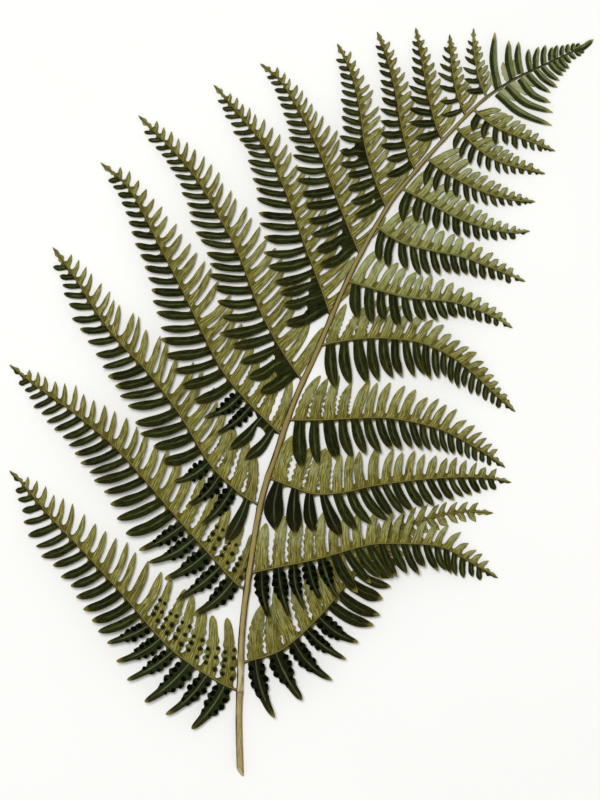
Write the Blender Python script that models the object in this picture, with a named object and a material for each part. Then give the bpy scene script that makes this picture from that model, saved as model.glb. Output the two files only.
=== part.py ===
"""A bracken frond as picked, lying flat with its underside up: one grown piece, in mm on a table at z = 0.

X runs across the frond and Y from the cut stalk to the tip. Each side leaf (pinna) is one thin arched blade,
whose outline is cut into leaflets (pinnules) on both sides of its rib.
"""

import math

import bmesh
import bpy
from mathutils import Vector

MM = 0.001

# The rachis: places on its centre line, then its width at even steps from the cut end to the tip.
RACHIS = [
    (-45, -279), (-46, -240), (-45, -210), (-43.5, -172.5), (-38, -127.5), (-29, -75), (-17, -37.5),
    (-4, 0), (13, 37.5), (35.5, 90), (64, 142.5), (87, 172.5), (114, 202.5), (137, 225), (159, 240),
    (181.5, 251), (206, 262.5), (220, 270.5),
]
RACHIS_WIDTHS = (5.2, 5.0, 4.8, 4.6, 4.2, 3.6, 2.9, 2.0, 1.3)
RACHIS_END = 0.93
RACHIS_STEPS = 26
RACHIS_SIDES = 6
RACHIS_ARCH = 5.0
CUT_SLANT = 1.0

# It rests on a flat that is pressed into its underside under the frond's weight.
REST_AT = (-4, 0)
REST_LENGTH = 24.0
REST_SINK = 0.2

BLADE = 0.7
RIB_RISE = 0.5
RIB_KEEL = 0.4
WING = 2.3
ROOT_WING = 0.55
ROOT_LIFT = 0.1
CROWN = 8.5
LOWER_SLOPE = 0.18
UPPER_SLOPE = -0.06
TIP_DROOP = 0.9

# The shortest leaflets are plain points, longer ones have one shoulder, and the longest have two.
PLAIN_UNDER = 9.0
SHOULDER_UNDER = 26.0
NEAR_SHOULDER, FAR_SHOULDER = 0.66, 0.60
SCALLOPS = ((0.16, 1.0), (0.29, 0.8), (0.42, 1.0))
TAPER = ((0.34, 1.0), (0.64, 0.55))
HALF_WIDTH, FERTILE_HALF_WIDTH = 0.33, 0.36
SICKLE = 0.28
FERTILE_STEP = 1.6
LAST_STEP = 0.72
END_LOBE = 0.45

# Each pinna: its side of the rachis (1 is left), its rib from the rachis to its tip, how many leaflets it has
# a side and how many of those are fertile. Then, at even steps from foot to tip, the lengths of the leaflets
# that face the stalk (lower) and of those that face the frond's tip (upper), and the angles at which they
# leave the rib.
PINNAE = {
    "left_1": dict(
        side=1, rib=[(-45, -219), (-64, -210), (-97.5, -186), (-131, -148), (-161, -115), (-184, -91.5),
                     (-206, -66), (-218.5, -53)],
        count=19, fertile=6, lower=(42, 43, 34, 28, 24, 7), upper=(36, 38, 34, 28, 22, 7),
        lower_turn=(78, 72, 62), upper_turn=(72, 66, 52)),
    "left_2": dict(
        side=1, rib=[(-40.5, -142), (-49, -136.5), (-71, -112), (-94, -86), (-116, -60), (-141, -33),
                     (-172.5, -7.5), (-199, 11), (-218.5, 26.5)],
        count=19, fertile=5, lower=(41, 40, 36, 28, 20, 7), upper=(34, 36, 31, 24, 18, 7),
        lower_turn=(76, 68, 56), upper_turn=(68, 62, 56)),
    "left_3": dict(
        side=1, rib=[(-29.5, -79.5), (-45, -70), (-67.5, -48), (-90, -11), (-112.5, 19), (-135, 43),
                     (-150, 62), (-169, 91.5), (-186, 115)],
        count=18, fertile=3, lower=(39, 32, 33, 24, 20, 7), upper=(29, 31, 31, 27, 18, 7),
        lower_turn=(78, 62, 52), upper_turn=(62, 58, 50)),
    "left_4": dict(
        side=1, rib=[(-12.5, -28), (-37.5, -3), (-58.5, 22.5), (-75, 55), (-90, 86), (-105, 115),
                     (-127.5, 157.5), (-150, 178.5)],
        count=20, fertile=2, lower=(34, 33, 32, 23, 16, 7), upper=(28, 29, 28, 22, 15, 6),
        lower_turn=(92, 60, 54), upper_turn=(58, 60, 54)),
    "left_5": dict(
        side=1, rib=[(2, 14), (-13, 36), (-28.5, 64), (-39, 91.5), (-48, 114), (-60, 136.5), (-75, 162),
                     (-88.5, 180), (-121.5, 214)],
        count=20, fertile=0, lower=(34, 32, 29, 23, 15, 6), upper=(26, 28, 25, 20, 13, 6),
        lower_turn=(86, 58, 44), upper_turn=(60, 56, 52)),
    "left_6": dict(
        side=1, rib=[(23.5, 62), (15, 86), (4, 115), (-5, 141), (-15, 166.5), (-26, 190), (-41, 208.5),
                     (-56, 227), (-65, 237)],
        count=19, fertile=0, lower=(36, 33, 28, 22, 15, 6), upper=(24, 25, 24, 18, 12, 6),
        lower_turn=(95, 58, 48), upper_turn=(58, 54, 50)),
    "left_7": dict(
        side=1, rib=[(45, 109), (34, 135), (24, 161), (13, 190), (0, 216), (-15, 240), (-30, 253)],
        count=17, fertile=0, lower=(31, 28, 25, 18, 11, 6), upper=(21, 22, 20, 16, 10, 5),
        lower_turn=(100, 60, 50), upper_turn=(54, 52, 50)),
    "left_8": dict(
        side=1, rib=[(65, 143.5), (57, 163), (49, 189), (45, 217.5), (39, 244), (28, 268)],
        count=14, fertile=0, lower=(26, 22, 19, 15, 10, 5), upper=(18, 19, 17, 13, 9, 4.5),
        lower_turn=(98, 66, 56), upper_turn=(50, 52, 50)),
    "left_9": dict(
        side=1, rib=[(87, 172), (82, 182), (76, 205), (72, 229), (66, 255), (58, 277)],
        count=12, fertile=0, lower=(22, 19, 16, 12, 8, 4.5), upper=(15, 16, 15, 11, 7.5, 4.5),
        lower_turn=(92, 58, 45), upper_turn=(50, 50, 50)),
    "left_10": dict(
        side=1, rib=[(107, 195), (102, 206), (96, 230), (91.5, 255), (87, 280)],
        count=10, fertile=0, lower=(22, 19, 16, 12, 7.5, 4.5), upper=(13, 14, 12, 10, 7, 4),
        lower_turn=(80, 52, 42), upper_turn=(50, 50, 50)),
    "left_11": dict(
        side=1, rib=[(124.5, 213), (118, 229), (114, 251), (112.5, 275)],
        count=8, fertile=0, lower=(18, 15, 13, 10, 7, 4), upper=(11, 11, 10, 8, 5, 4),
        lower_turn=(84, 52, 45), upper_turn=(48, 50, 50)),
    "left_12": dict(
        side=1, rib=[(140, 227.5), (134, 244), (130.5, 266), (130.5, 279.5)],
        count=7, fertile=0, lower=(11, 10, 9, 7.5, 6, 4), upper=(9, 9, 8, 7, 5, 4),
        lower_turn=(72, 52, 45), upper_turn=(46, 50, 50), crown=1.0, upper_slope=-0.12),
    "right_1": dict(
        side=-1, rib=[(-44.5, -197.5), (-14, -187.5), (13.5, -163.5), (31.5, -142.5), (52.5, -118.5),
                      (73.5, -97.5), (105, -87), (124, -84), (145.5, -85)],
        count=16, fertile=5, lower=(44, 38, 34, 24, 9, 6), upper=(37, 40, 30, 16, 10, 7),
        lower_turn=(87, 74, 56), upper_turn=(72, 60, 56), crown=2.0),
    "right_2": dict(
        side=-1, rib=[(-38.5, -130), (-15, -125), (15, -118.5), (49, -109), (71, -107.5), (105, -110),
                      (127.5, -121.5), (149, -134)],
        count=16, fertile=5, lower=(41, 36, 31, 25, 19, 9), upper=(36, 34, 28, 22, 16, 7),
        lower_turn=(96, 66, 54), upper_turn=(70, 72, 64), crown=9.0),
    "right_3": dict(
        side=-1, rib=[(-26, -57.5), (-7.5, -64.5), (11, -70.5), (34, -69), (56, -64), (97.5, -59),
                      (135, -58), (159, -62)],
        count=15, fertile=5, lower=(37, 34, 30, 25, 18, 8), upper=(33, 31, 28, 22, 15, 7),
        lower_turn=(68, 66, 54), upper_turn=(90, 72, 66), crown=8.5),
    "right_4": dict(
        side=-1, rib=[(-9.5, -15), (15, -15), (45, -13.5), (71, -14), (105, -22), (135, -37.5),
                      (154.5, -51)],
        count=16, fertile=4, lower=(36, 32, 27, 21, 15, 7), upper=(31, 31, 28, 22, 16, 8),
        lower_turn=(92, 62, 46), upper_turn=(70, 72, 64), crown=8.0),
    "right_5": dict(
        side=-1, rib=[(14.5, 40.5), (26, 43.5), (49, 46.5), (71, 46), (94, 42), (120, 28.5), (150, 1.5),
                      (162, -9)],
        count=16, fertile=0, lower=(35, 31, 28, 22, 15, 7), upper=(29, 26, 21, 15, 10, 6),
        lower_turn=(98, 62, 50), upper_turn=(54, 66, 62)),
    "right_6": dict(
        side=-1, rib=[(34.5, 90), (60, 82.5), (82.5, 77), (116, 73.5), (142.5, 64), (160, 54)],
        count=13, fertile=0, lower=(30, 25, 20, 15, 10, 6), upper=(22, 20, 17, 13, 9, 5),
        lower_turn=(74, 60, 54), upper_turn=(68, 64, 60)),
    "right_7": dict(
        side=-1, rib=[(56.5, 131), (75, 119), (97.5, 112.5), (120, 108), (142.5, 100), (169.5, 89)],
        count=13, fertile=0, lower=(26, 22, 19, 15, 11, 6), upper=(22, 19, 16, 13, 9, 5),
        lower_turn=(60, 60, 54), upper_turn=(66, 60, 58)),
    "right_8": dict(
        side=-1, rib=[(76, 159), (94, 150), (112.5, 139.5), (135, 130.5), (157.5, 126), (173, 127)],
        count=11, fertile=0, lower=(24, 20, 17, 13, 10, 5), upper=(20, 18, 15, 12, 8, 4.5),
        lower_turn=(74, 58, 50), upper_turn=(64, 56, 52)),
    "right_9": dict(
        side=-1, rib=[(94.5, 182), (112.5, 169), (135, 157.5), (157.5, 151), (177, 149)],
        count=10, fertile=0, lower=(21, 17, 14, 11, 7.5, 4.5), upper=(18, 16, 13, 10, 7.5, 4.5),
        lower_turn=(73, 52, 44), upper_turn=(60, 54, 50)),
    "right_10": dict(
        side=-1, rib=[(117, 205), (135, 188), (150, 179), (184.5, 170)],
        count=9, fertile=0, lower=(16, 14, 12, 10, 7, 4), upper=(15, 13, 11, 9, 7, 4),
        lower_turn=(68, 54, 45), upper_turn=(54, 52, 50)),
    "right_11": dict(
        side=-1, rib=[(130, 218.5), (146, 206), (169, 196), (192, 187)],
        count=8, fertile=0, lower=(13, 12, 10, 9, 7, 4), upper=(12, 11, 10, 8, 6, 4),
        lower_turn=(70, 56, 48), upper_turn=(50, 50, 50)),
    "tip": dict(
        side=-1, rib=[(137, 225), (159, 240), (181.5, 251), (206, 262.5), (220, 270.5)],
        count=12, fertile=0, lower=(49, 32, 20, 13, 8, 4), upper=(43, 25, 16, 12, 8, 4),
        lower_turn=(72, 66, 60), upper_turn=(56, 54, 50), crown=2.0, upper_slope=0.14,
        start=9.0, last=0.4),
}

GREEN_BLACK = (0.016, 0.026, 0.012)
OLIVE = (0.13, 0.13, 0.035)
STRAW = (0.26, 0.20, 0.08)
LOWER, UPPER, STALK = range(3)


class Course:
    """A smooth curve through a few places, read by the distance from its start."""

    FINE = 12

    def __init__(self, places):
        places = [Vector(place) for place in places]
        before = places[0] * 2 - places[1]
        after = places[-1] * 2 - places[-2]
        ring = [before, *places, after]
        self.points = []
        for four in zip(ring, ring[1:], ring[2:], ring[3:]):
            self.points += [self.between(*four, step / self.FINE) for step in range(self.FINE)]
        self.points.append(places[-1])
        self.reach = [0.0]
        for a, b in zip(self.points, self.points[1:]):
            self.reach.append(self.reach[-1] + (b - a).length)
        self.length = self.reach[-1]

    @staticmethod
    def between(a, b, c, d, t):
        """A Catmull-Rom curve from b to c."""
        bend = 2 * a - 5 * b + 4 * c - d
        twist = 3 * b - a - 3 * c + d
        return (2 * b + (c - a) * t + bend * t**2 + twist * t**3) / 2

    def at(self, distance):
        distance = min(max(distance, 0.0), self.length)
        index = 0
        while index < len(self.reach) - 2 and self.reach[index + 1] < distance:
            index += 1
        share = (distance - self.reach[index]) / (self.reach[index + 1] - self.reach[index])
        return self.points[index].lerp(self.points[index + 1], share)

    def heading(self, distance):
        step = self.length / 60
        return (self.at(distance + step) - self.at(distance - step)).normalized()

    def nearest(self, place):
        gaps = [(Vector(place) - point).length for point in self.points]
        return self.reach[gaps.index(min(gaps))]


def profile(values, share):
    """Reads values given at even steps from 0 to 1."""
    spot = min(max(share, 0.0), 1.0) * (len(values) - 1)
    index = min(int(spot), len(values) - 2)
    return values[index] + (values[index + 1] - values[index]) * (spot - index)


def turned(direction, degrees):
    angle = math.radians(degrees)
    cos, sin = math.cos(angle), math.sin(angle)
    return Vector((direction.x * cos - direction.y * sin, direction.x * sin + direction.y * cos))


def material(name, colour, roughness):
    made = bpy.data.materials.new(name)
    made.use_nodes = True
    shader = made.node_tree.nodes["Principled BSDF"]
    shader.inputs["Base Color"].default_value = (*colour, 1)
    shader.inputs["Roughness"].default_value = roughness
    shader.inputs["Metallic"].default_value = 0.0
    made.diffuse_color = (*colour, 1)
    return made


def as_object(name, solid, materials):
    """Turns a bmesh in millimetres into an object in metres."""
    bmesh.ops.scale(solid, vec=Vector((MM, MM, MM)), verts=solid.verts)
    bmesh.ops.recalc_face_normals(solid, faces=solid.faces)
    mesh = bpy.data.meshes.new(name)
    solid.to_mesh(mesh)
    solid.free()
    for slot in materials:
        mesh.materials.append(slot)
    return bpy.data.objects.new(name, mesh)


class Rachis:
    """The frond's own midrib, a tapering six-sided stalk with a slanting cut at its foot."""

    def __init__(self):
        self.course = Course(RACHIS)
        self.rest = self.course.nearest(REST_AT)

    def radius(self, distance):
        return profile(RACHIS_WIDTHS, distance / self.course.length) / 2

    def height(self, distance):
        """Its centre: it touches the table at the cut end, the rest and the tip, with low arches between."""
        if distance < self.rest:
            arch = math.sin(math.pi * distance / self.rest) ** 2
        else:
            arch = math.sin(math.pi * (distance - self.rest) / (self.course.length - self.rest)) ** 2
        sink = REST_SINK if abs(distance - self.rest) < REST_LENGTH / 2 else 0
        return self.radius(distance) * math.cos(math.pi / RACHIS_SIDES) - sink + RACHIS_ARCH * arch

    def stations(self):
        """Even steps, cleared round the rest for the two ends of its flat."""
        ends = [self.rest - 0.49 * REST_LENGTH, self.rest + 0.49 * REST_LENGTH]
        step = self.course.length * RACHIS_END / RACHIS_STEPS
        even = [step * index for index in range(RACHIS_STEPS + 1)]
        return sorted([d for d in even if not ends[0] - step / 2 < d < ends[1] + step / 2] + ends)

    def ring(self, solid, distance):
        centre, heading = self.course.at(distance), self.course.heading(distance)
        across = Vector((heading.y, -heading.x))
        radius = self.radius(distance)
        corners = []
        for side in range(RACHIS_SIDES):
            angle = math.tau * side / RACHIS_SIDES
            spot = centre + across * radius * math.cos(angle)
            if distance == 0:
                spot -= heading * CUT_SLANT * radius * math.cos(angle)
            height = max(self.height(distance) + radius * math.sin(angle), 0)
            corners.append(solid.verts.new((*spot, height)))
        return corners

    def make(self, materials):
        solid = bmesh.new()
        rings = [self.ring(solid, distance) for distance in self.stations()]
        for ring, following in zip(rings, rings[1:]):
            for side in range(RACHIS_SIDES):
                after = (side + 1) % RACHIS_SIDES
                solid.faces.new((ring[side], ring[after], following[after], following[side]))
        solid.faces.new(rings[0])
        solid.faces.new(rings[-1])
        for face in solid.faces:
            face.material_index = STALK
        return as_object("bracken_frond", solid, materials)


class Pinna:
    """One blade cut into leaflets, with the same triangles on its top and bottom and a wall between them.

    It is tilted about its rib, so that its lower leaflets lie clear above the upper ones of the next pinna.
    """

    def __init__(self, spec, rachis):
        rooted_at = rachis.course.nearest(spec["rib"][0])
        self.spec = spec
        self.rib = Course(spec["rib"])
        self.root_radius = rachis.radius(rooted_at)
        self.root_height = rachis.height(rooted_at)
        self.crown = spec.get("crown", CROWN * min(self.rib.length / 240, 1))
        self.spots = self.stations(spec.get("start", 1.5 * self.root_radius))
        self.solid = bmesh.new()

    def stations(self, start):
        """Where the notches between leaflets lie along the rib: wide steps where they are fertile."""
        count, last = self.spec["count"], self.spec.get("last", LAST_STEP)
        steps = []
        for index in range(count):
            wide = FERTILE_STEP if index < self.spec["fertile"] else 1
            steps.append(wide * (1 + (last - 1) * index / (count - 1)))
        room = self.rib.length * (1 - END_LOBE / count) - start
        spots = [start]
        for step in steps:
            spots.append(spots[-1] + room * step / sum(steps))
        return spots

    def rib_height(self, distance):
        share = distance / self.rib.length
        ease = share * share * (3 - 2 * share)
        arch = max(math.sin(math.pi * share), 0) ** 1.5
        return self.root_height * (1 - ease) + BLADE * ease + self.crown * arch

    def point(self, place, height, rise=0.0, keel=0.0):
        """A corner of the blade: the same place on its top and on its bottom, never below the table."""
        height = max(height, BLADE + keel)
        top = self.solid.verts.new((*place, height + rise))
        return top, self.solid.verts.new((*place, height - BLADE - keel))

    def face(self, slot, *corners):
        for level in (0, 1):
            self.solid.faces.new([corner[level] for corner in corners]).material_index = slot

    def wall(self, slot, points):
        for a, b in zip(points, points[1:]):
            for corners in ((a[0], b[0], b[1]), (a[0], b[1], a[1])):
                self.solid.faces.new(corners).material_index = slot

    def make(self, name, materials):
        self.crest = [self.point(self.rib.at(0), self.root_height, ROOT_LIFT, ROOT_LIFT)]
        for distance in self.spots:
            rise = RIB_RISE * (1 - 0.6 * distance / self.rib.length)
            self.crest.append(self.point(self.rib.at(distance), self.rib_height(distance), rise, RIB_KEEL))
        self.tip = self.point(self.rib.at(self.rib.length), self.rib_height(self.rib.length))
        self.add_side(LOWER, self.spec["side"], LOWER_SLOPE)
        self.add_side(UPPER, -self.spec["side"], self.spec.get("upper_slope", UPPER_SLOPE))
        return as_object(name, self.solid, materials)

    def add_side(self, slot, turn, slope):
        """The strip along the rib on one side, then its leaflets. slot also says which side it is."""
        notches = [self.notch(0, ROOT_WING * self.root_radius, turn, 0)]
        for distance in self.spots:
            wing = min(WING, self.rib.length / 75) * (1 - 0.5 * distance / self.rib.length)
            notches.append(self.notch(distance, wing, turn, slope))
        for index in range(len(self.spots)):
            self.face(slot, self.crest[index], self.crest[index + 1], notches[index + 1])
            self.face(slot, self.crest[index], notches[index + 1], notches[index])
        self.face(slot, self.crest[-1], self.tip, notches[-1])
        self.wall(slot, [self.crest[0], notches[0], notches[1]])
        self.wall(slot, [notches[-1], self.tip])
        for index in range(self.spec["count"]):
            self.add_leaflet(slot, turn, slope, index, notches[index + 1], notches[index + 2])

    def notch(self, distance, wing, turn, slope):
        spot = self.rib.at(distance) + turned(self.rib.heading(distance), 90 * turn) * wing
        return self.point(spot, self.rib_height(distance) + slope * wing)

    def add_leaflet(self, slot, turn, slope, index, near_notch, far_notch):
        spec, spots = self.spec, self.spots
        foot_at = (spots[index] + spots[index + 1]) / 2
        share = (foot_at - spots[0]) / (spots[-1] - spots[0])
        length = profile(spec["lower" if slot == LOWER else "upper"], share)
        angle = profile(spec["lower_turn" if slot == LOWER else "upper_turn"], share)
        fertile = index < spec["fertile"]

        foot, forward = self.rib.at(foot_at), self.rib.heading(foot_at)
        out = turned(forward, 90 * turn)
        way = turned(forward, angle * turn)
        ahead = turned(way, -90 * turn)
        pitch = (spots[index + 1] - spots[index]) * math.sin(math.radians(angle))
        half = pitch * (FERTILE_HALF_WIDTH if fertile else HALF_WIDTH)

        def flank(along, width):
            sickle = SICKLE * along * (1 - along) * length
            place = foot + way * length * along + ahead * (half * width - sickle)
            height = self.rib_height(foot_at) + slope * (place - foot).dot(out) - TIP_DROOP * along**2
            return self.point(place, height)

        near, far = self.outline(length, fertile, slot)
        near_chain = [near_notch] + [flank(along, -width) for along, width in near]
        far_chain = [far_notch] + [flank(along, width) for along, width in far]
        point = flank(1, 0)
        for step in range(max(len(near), len(far))):
            far_corner = far_chain[min(step, len(far))]
            if step < len(near):
                self.face(slot, near_chain[step], near_chain[step + 1], far_corner)
            if step < len(far):
                self.face(slot, near_chain[min(step + 1, len(near))], far_chain[step + 1], far_corner)
        self.face(slot, near_chain[-1], point, far_chain[-1])
        self.wall(slot, [*near_chain, point])
        self.wall(slot, [*far_chain, point])

    @staticmethod
    def outline(length, fertile, slot):
        """The corners of a leaflet's two flanks: how far along each lies, and its share of the half width."""
        if fertile:
            return (SCALLOPS if slot == LOWER else TAPER), TAPER
        if length < PLAIN_UNDER:
            return (), ()
        if length < SHOULDER_UNDER:
            return ((NEAR_SHOULDER, 1.0),), ()
        return ((NEAR_SHOULDER, 1.0),), ((FAR_SHOULDER, 1.0),)


def join(base, others):
    """Fuses a collection of solids into one object, then drops them."""
    fuse = base.modifiers.new("fuse", "BOOLEAN")
    fuse.operation = "UNION"
    fuse.operand_type = "COLLECTION"
    fuse.collection = others
    graph = bpy.context.evaluated_depsgraph_get()
    fused = bpy.data.meshes.new_from_object(base.evaluated_get(graph))
    base.modifiers.clear()
    base.data = fused
    for other in list(others.objects):
        bpy.data.objects.remove(other)
    bpy.data.collections.remove(others)


def make_frond():
    materials = [
        material("green_black", GREEN_BLACK, 0.55),
        material("olive", OLIVE, 0.6),
        material("straw", STRAW, 0.5),
    ]
    rachis = Rachis()
    frond = rachis.make(materials)
    bpy.context.scene.collection.objects.link(frond)
    blades = bpy.data.collections.new("blades")
    for name, spec in PINNAE.items():
        blades.objects.link(Pinna(spec, rachis).make(name, materials))
    join(frond, blades)


for leftover in list(bpy.data.objects):
    bpy.data.objects.remove(leftover)
make_frond()
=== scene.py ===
import math

import bmesh
import bpy
import numpy as np
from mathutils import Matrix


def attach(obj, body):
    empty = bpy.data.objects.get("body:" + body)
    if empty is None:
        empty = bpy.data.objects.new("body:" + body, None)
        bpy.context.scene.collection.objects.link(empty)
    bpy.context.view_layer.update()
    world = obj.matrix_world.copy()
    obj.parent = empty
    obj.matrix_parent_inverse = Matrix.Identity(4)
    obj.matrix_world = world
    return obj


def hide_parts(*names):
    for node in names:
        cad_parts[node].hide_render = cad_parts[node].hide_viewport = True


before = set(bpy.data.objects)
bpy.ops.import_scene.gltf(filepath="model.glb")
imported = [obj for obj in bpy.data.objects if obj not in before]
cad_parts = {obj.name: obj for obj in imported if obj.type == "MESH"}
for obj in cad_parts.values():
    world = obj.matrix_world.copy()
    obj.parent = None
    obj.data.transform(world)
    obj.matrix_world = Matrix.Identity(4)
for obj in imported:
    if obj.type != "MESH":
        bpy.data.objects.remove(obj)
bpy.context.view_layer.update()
mm = 0.001
dice = np.random.default_rng(1771)

# Places are in mm from the frame's origin, which is the photograph's middle


# A smooth line through measured places
def smoothCourse(places, fine=16):
    p = np.array(places, float)
    ring = np.vstack([2 * p[0] - p[1], p, 2 * p[-1] - p[-2]])
    t = np.arange(fine)[:, None] / fine
    runs = []
    for a, b, c, d in zip(ring, ring[1:], ring[2:], ring[3:]):
        bend, twist = 2 * a - 5 * b + 4 * c - d, 3 * b - a - 3 * c + d
        runs.append((2 * b + (c - a) * t + bend * t**2 + twist * t**3) / 2)
    line = np.vstack([*runs, p[-1]])
    reach = np.concatenate([[0], np.cumsum(np.linalg.norm(np.diff(line, axis=0), axis=1))])
    return {"line": line, "reach": reach, "length": reach[-1]}


def placeOn(course, distance):
    line, reach = course["line"], course["reach"]
    return np.stack([np.interp(distance, reach, line[:, k]) for k in (0, 1)], -1)


def headingOn(course, distance):
    step = course["length"] / 60  # the heading is taken over twice this
    way = placeOn(course, distance + step) - placeOn(course, distance - step)
    return way / np.linalg.norm(way, axis=-1, keepdims=True)


def nearestOn(course, place):
    gaps = np.linalg.norm(course["line"] - np.array(place), axis=1)
    return course["reach"][gaps.argmin()]


def turned(way, degrees):
    cos, sin = np.cos(np.radians(degrees)), np.sin(np.radians(degrees))
    x, y = way[..., 0], way[..., 1]
    return np.stack([x * cos - y * sin, x * sin + y * cos], -1)


# Reads values that are given at even steps from 0 to 1
def profile(values, share):
    return np.interp(share, np.linspace(0, 1, len(values)), values)


def smooth(share):
    share = np.clip(share, 0, 1)
    return share * share * (3 - 2 * share)


# Gathers quads into one closed mesh. A sheet is doubled below itself and its edge is walled
class Clay:
    def __init__(self):
        self.points, self.quads, self.marks, self.slots, self.count = [], [], [], [], 0

    def addPoints(self, places):
        places = np.asarray(places, float).reshape(-1, 3)
        self.points.append(places)
        self.count += len(places)
        return np.arange(self.count - len(places), self.count)

    # index is a grid of point numbers, and marks gives each of its corners values for the materials
    def addGrid(self, index, marks, slot):
        corners = [(0, 0), (1, 0), (1, 1), (0, 1)]
        rows, cols = index.shape[0] - 1, index.shape[1] - 1
        quads = np.stack([index[r:r + rows, c:c + cols] for r, c in corners], -1)
        values = np.stack([marks[r:r + rows, c:c + cols] for r, c in corners], 2)
        self.quads.append(quads.reshape(-1, 4))
        self.marks.append(values.reshape(-1, 4, marks.shape[-1]))
        self.slots.append(np.full(rows * cols, slot))

    # Takes in another mesh's faces
    def absorb(self, other):
        self.points += other.points
        self.quads += [quads + self.count for quads in other.quads]
        self.marks += other.marks
        self.slots += other.slots
        self.count += other.count

    # Doubles the sheet at this depth below it and joins the two along their edge
    def thicken(self, depth):
        points, quads = np.vstack(self.points), np.vstack(self.quads)
        marks, slots = np.vstack(self.marks), np.concatenate(self.slots)
        under = points - [0, 0, depth]
        sides = np.stack([quads, np.roll(quads, -1, 1)], -1).reshape(-1, 2)
        key = np.sort(sides, 1)
        key = key[:, 0] * len(points) + key[:, 1]
        _, inverse, uses = np.unique(key, return_inverse=True, return_counts=True)
        edge = np.flatnonzero(uses[inverse] == 1)
        a, b = sides[edge].T
        walls = np.stack([b, a, a + len(points), b + len(points)], -1)
        first, after = marks[edge // 4, edge % 4], marks[edge // 4, (edge + 1) % 4]
        self.points = [points, under]
        self.quads = [quads, quads[:, ::-1] + len(points), walls]
        self.marks = [marks, marks[:, ::-1], np.stack([after, first, first, after], 1)]
        self.slots = [slots, slots, slots[edge // 4]]
        self.count = 2 * len(points)

    def toObject(self, name, materials, creaseAngle):
        points, quads = np.vstack(self.points) * mm, np.vstack(self.quads)
        marks = np.vstack(self.marks)
        mesh = bpy.data.meshes.new(name)
        mesh.from_pydata(points.tolist(), [], quads.tolist())
        for number, mapName in enumerate(markMaps):
            layer = mesh.uv_layers.new(name=mapName)
            layer.data.foreach_set("uv", marks[..., 2 * number:2 * number + 2].ravel())
        for material in materials:
            mesh.materials.append(material)
        mesh.polygons.foreach_set("material_index", np.concatenate(self.slots).astype(np.int32))
        form = bmesh.new()
        form.from_mesh(mesh)
        bmesh.ops.recalc_face_normals(form, faces=form.faces)
        form.to_mesh(mesh)
        form.free()
        mesh.shade_smooth()
        mesh.set_sharp_from_angle(angle=math.radians(creaseAngle))
        piece = bpy.data.objects.new(name, mesh)
        bpy.context.scene.collection.objects.link(piece)
        return piece


# What each corner tells the materials, two values in each map. On a leaflet they are the share along it
# and 1 where it is fertile or black, the mm along and across it, the mm in from its edge and its random
# number, and how grey it is. A rod has the share and the mm along it, from -1 to 1 across it, and its
# grey. The grey of a spore cluster is 1 on a light leaflet, and that of the frond's tip 1 on its frills
markMaps = ("leafPlace", "leafMm", "leafEdge", "leafTint")
markNames = ("share", "special", "along", "across", "inside", "seed", "grey")


def markCorners(shape, **values):
    marks = np.zeros((*shape, 2 * len(markMaps)))
    for name, value in values.items():
        marks[..., markNames.index(name)] = value
    return marks


# The frond's own midrib, with a slanting cut at its foot
rachis = {
    "places": [
        (-45, -279), (-46, -240), (-45, -210), (-43.5, -172.5), (-38, -127.5), (-29, -75), (-17, -37.5),
        (-4, 0), (13, 37.5), (35.5, 90), (64, 142.5), (87, 172.5), (114, 202.5), (137, 225), (159, 240),
        (181.5, 251), (206, 262.5), (220, 270.5)],
    "widths": (5.2, 5.0, 4.8, 4.6, 4.2, 3.6, 2.9, 2.0, 1.3),
    "arch": 5.0, "restAt": (-4, 0), "tipFoot": (137, 225), "end": 0.985, "sides": 20, "step": 2.2,
    "cutSlant": 1.2, "cutTilt": 1.0, "cutDepth": 0.5, "cutLength": 1.5,
    "knuckle": 0.13, "knuckleLength": 3.2, "ridges": 0.035,
}
rachis["course"] = smoothCourse(rachis["places"])
rachis["rest"] = nearestOn(rachis["course"], rachis["restAt"])


def rachisRadius(distance):
    return profile(rachis["widths"], distance / rachis["course"]["length"]) / 2


def rachisHeight(distance):
    rest, length = rachis["rest"], rachis["course"]["length"]
    before = np.sin(np.pi * distance / rest) ** 2
    after = np.sin(np.pi * (distance - rest) / (length - rest)) ** 2
    arch = np.where(distance < rest, before, after)
    underside = rachisRadius(distance) * math.cos(math.pi / 6)  # the solid's stalk has six sides
    return underside + rachis["arch"] * arch


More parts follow.
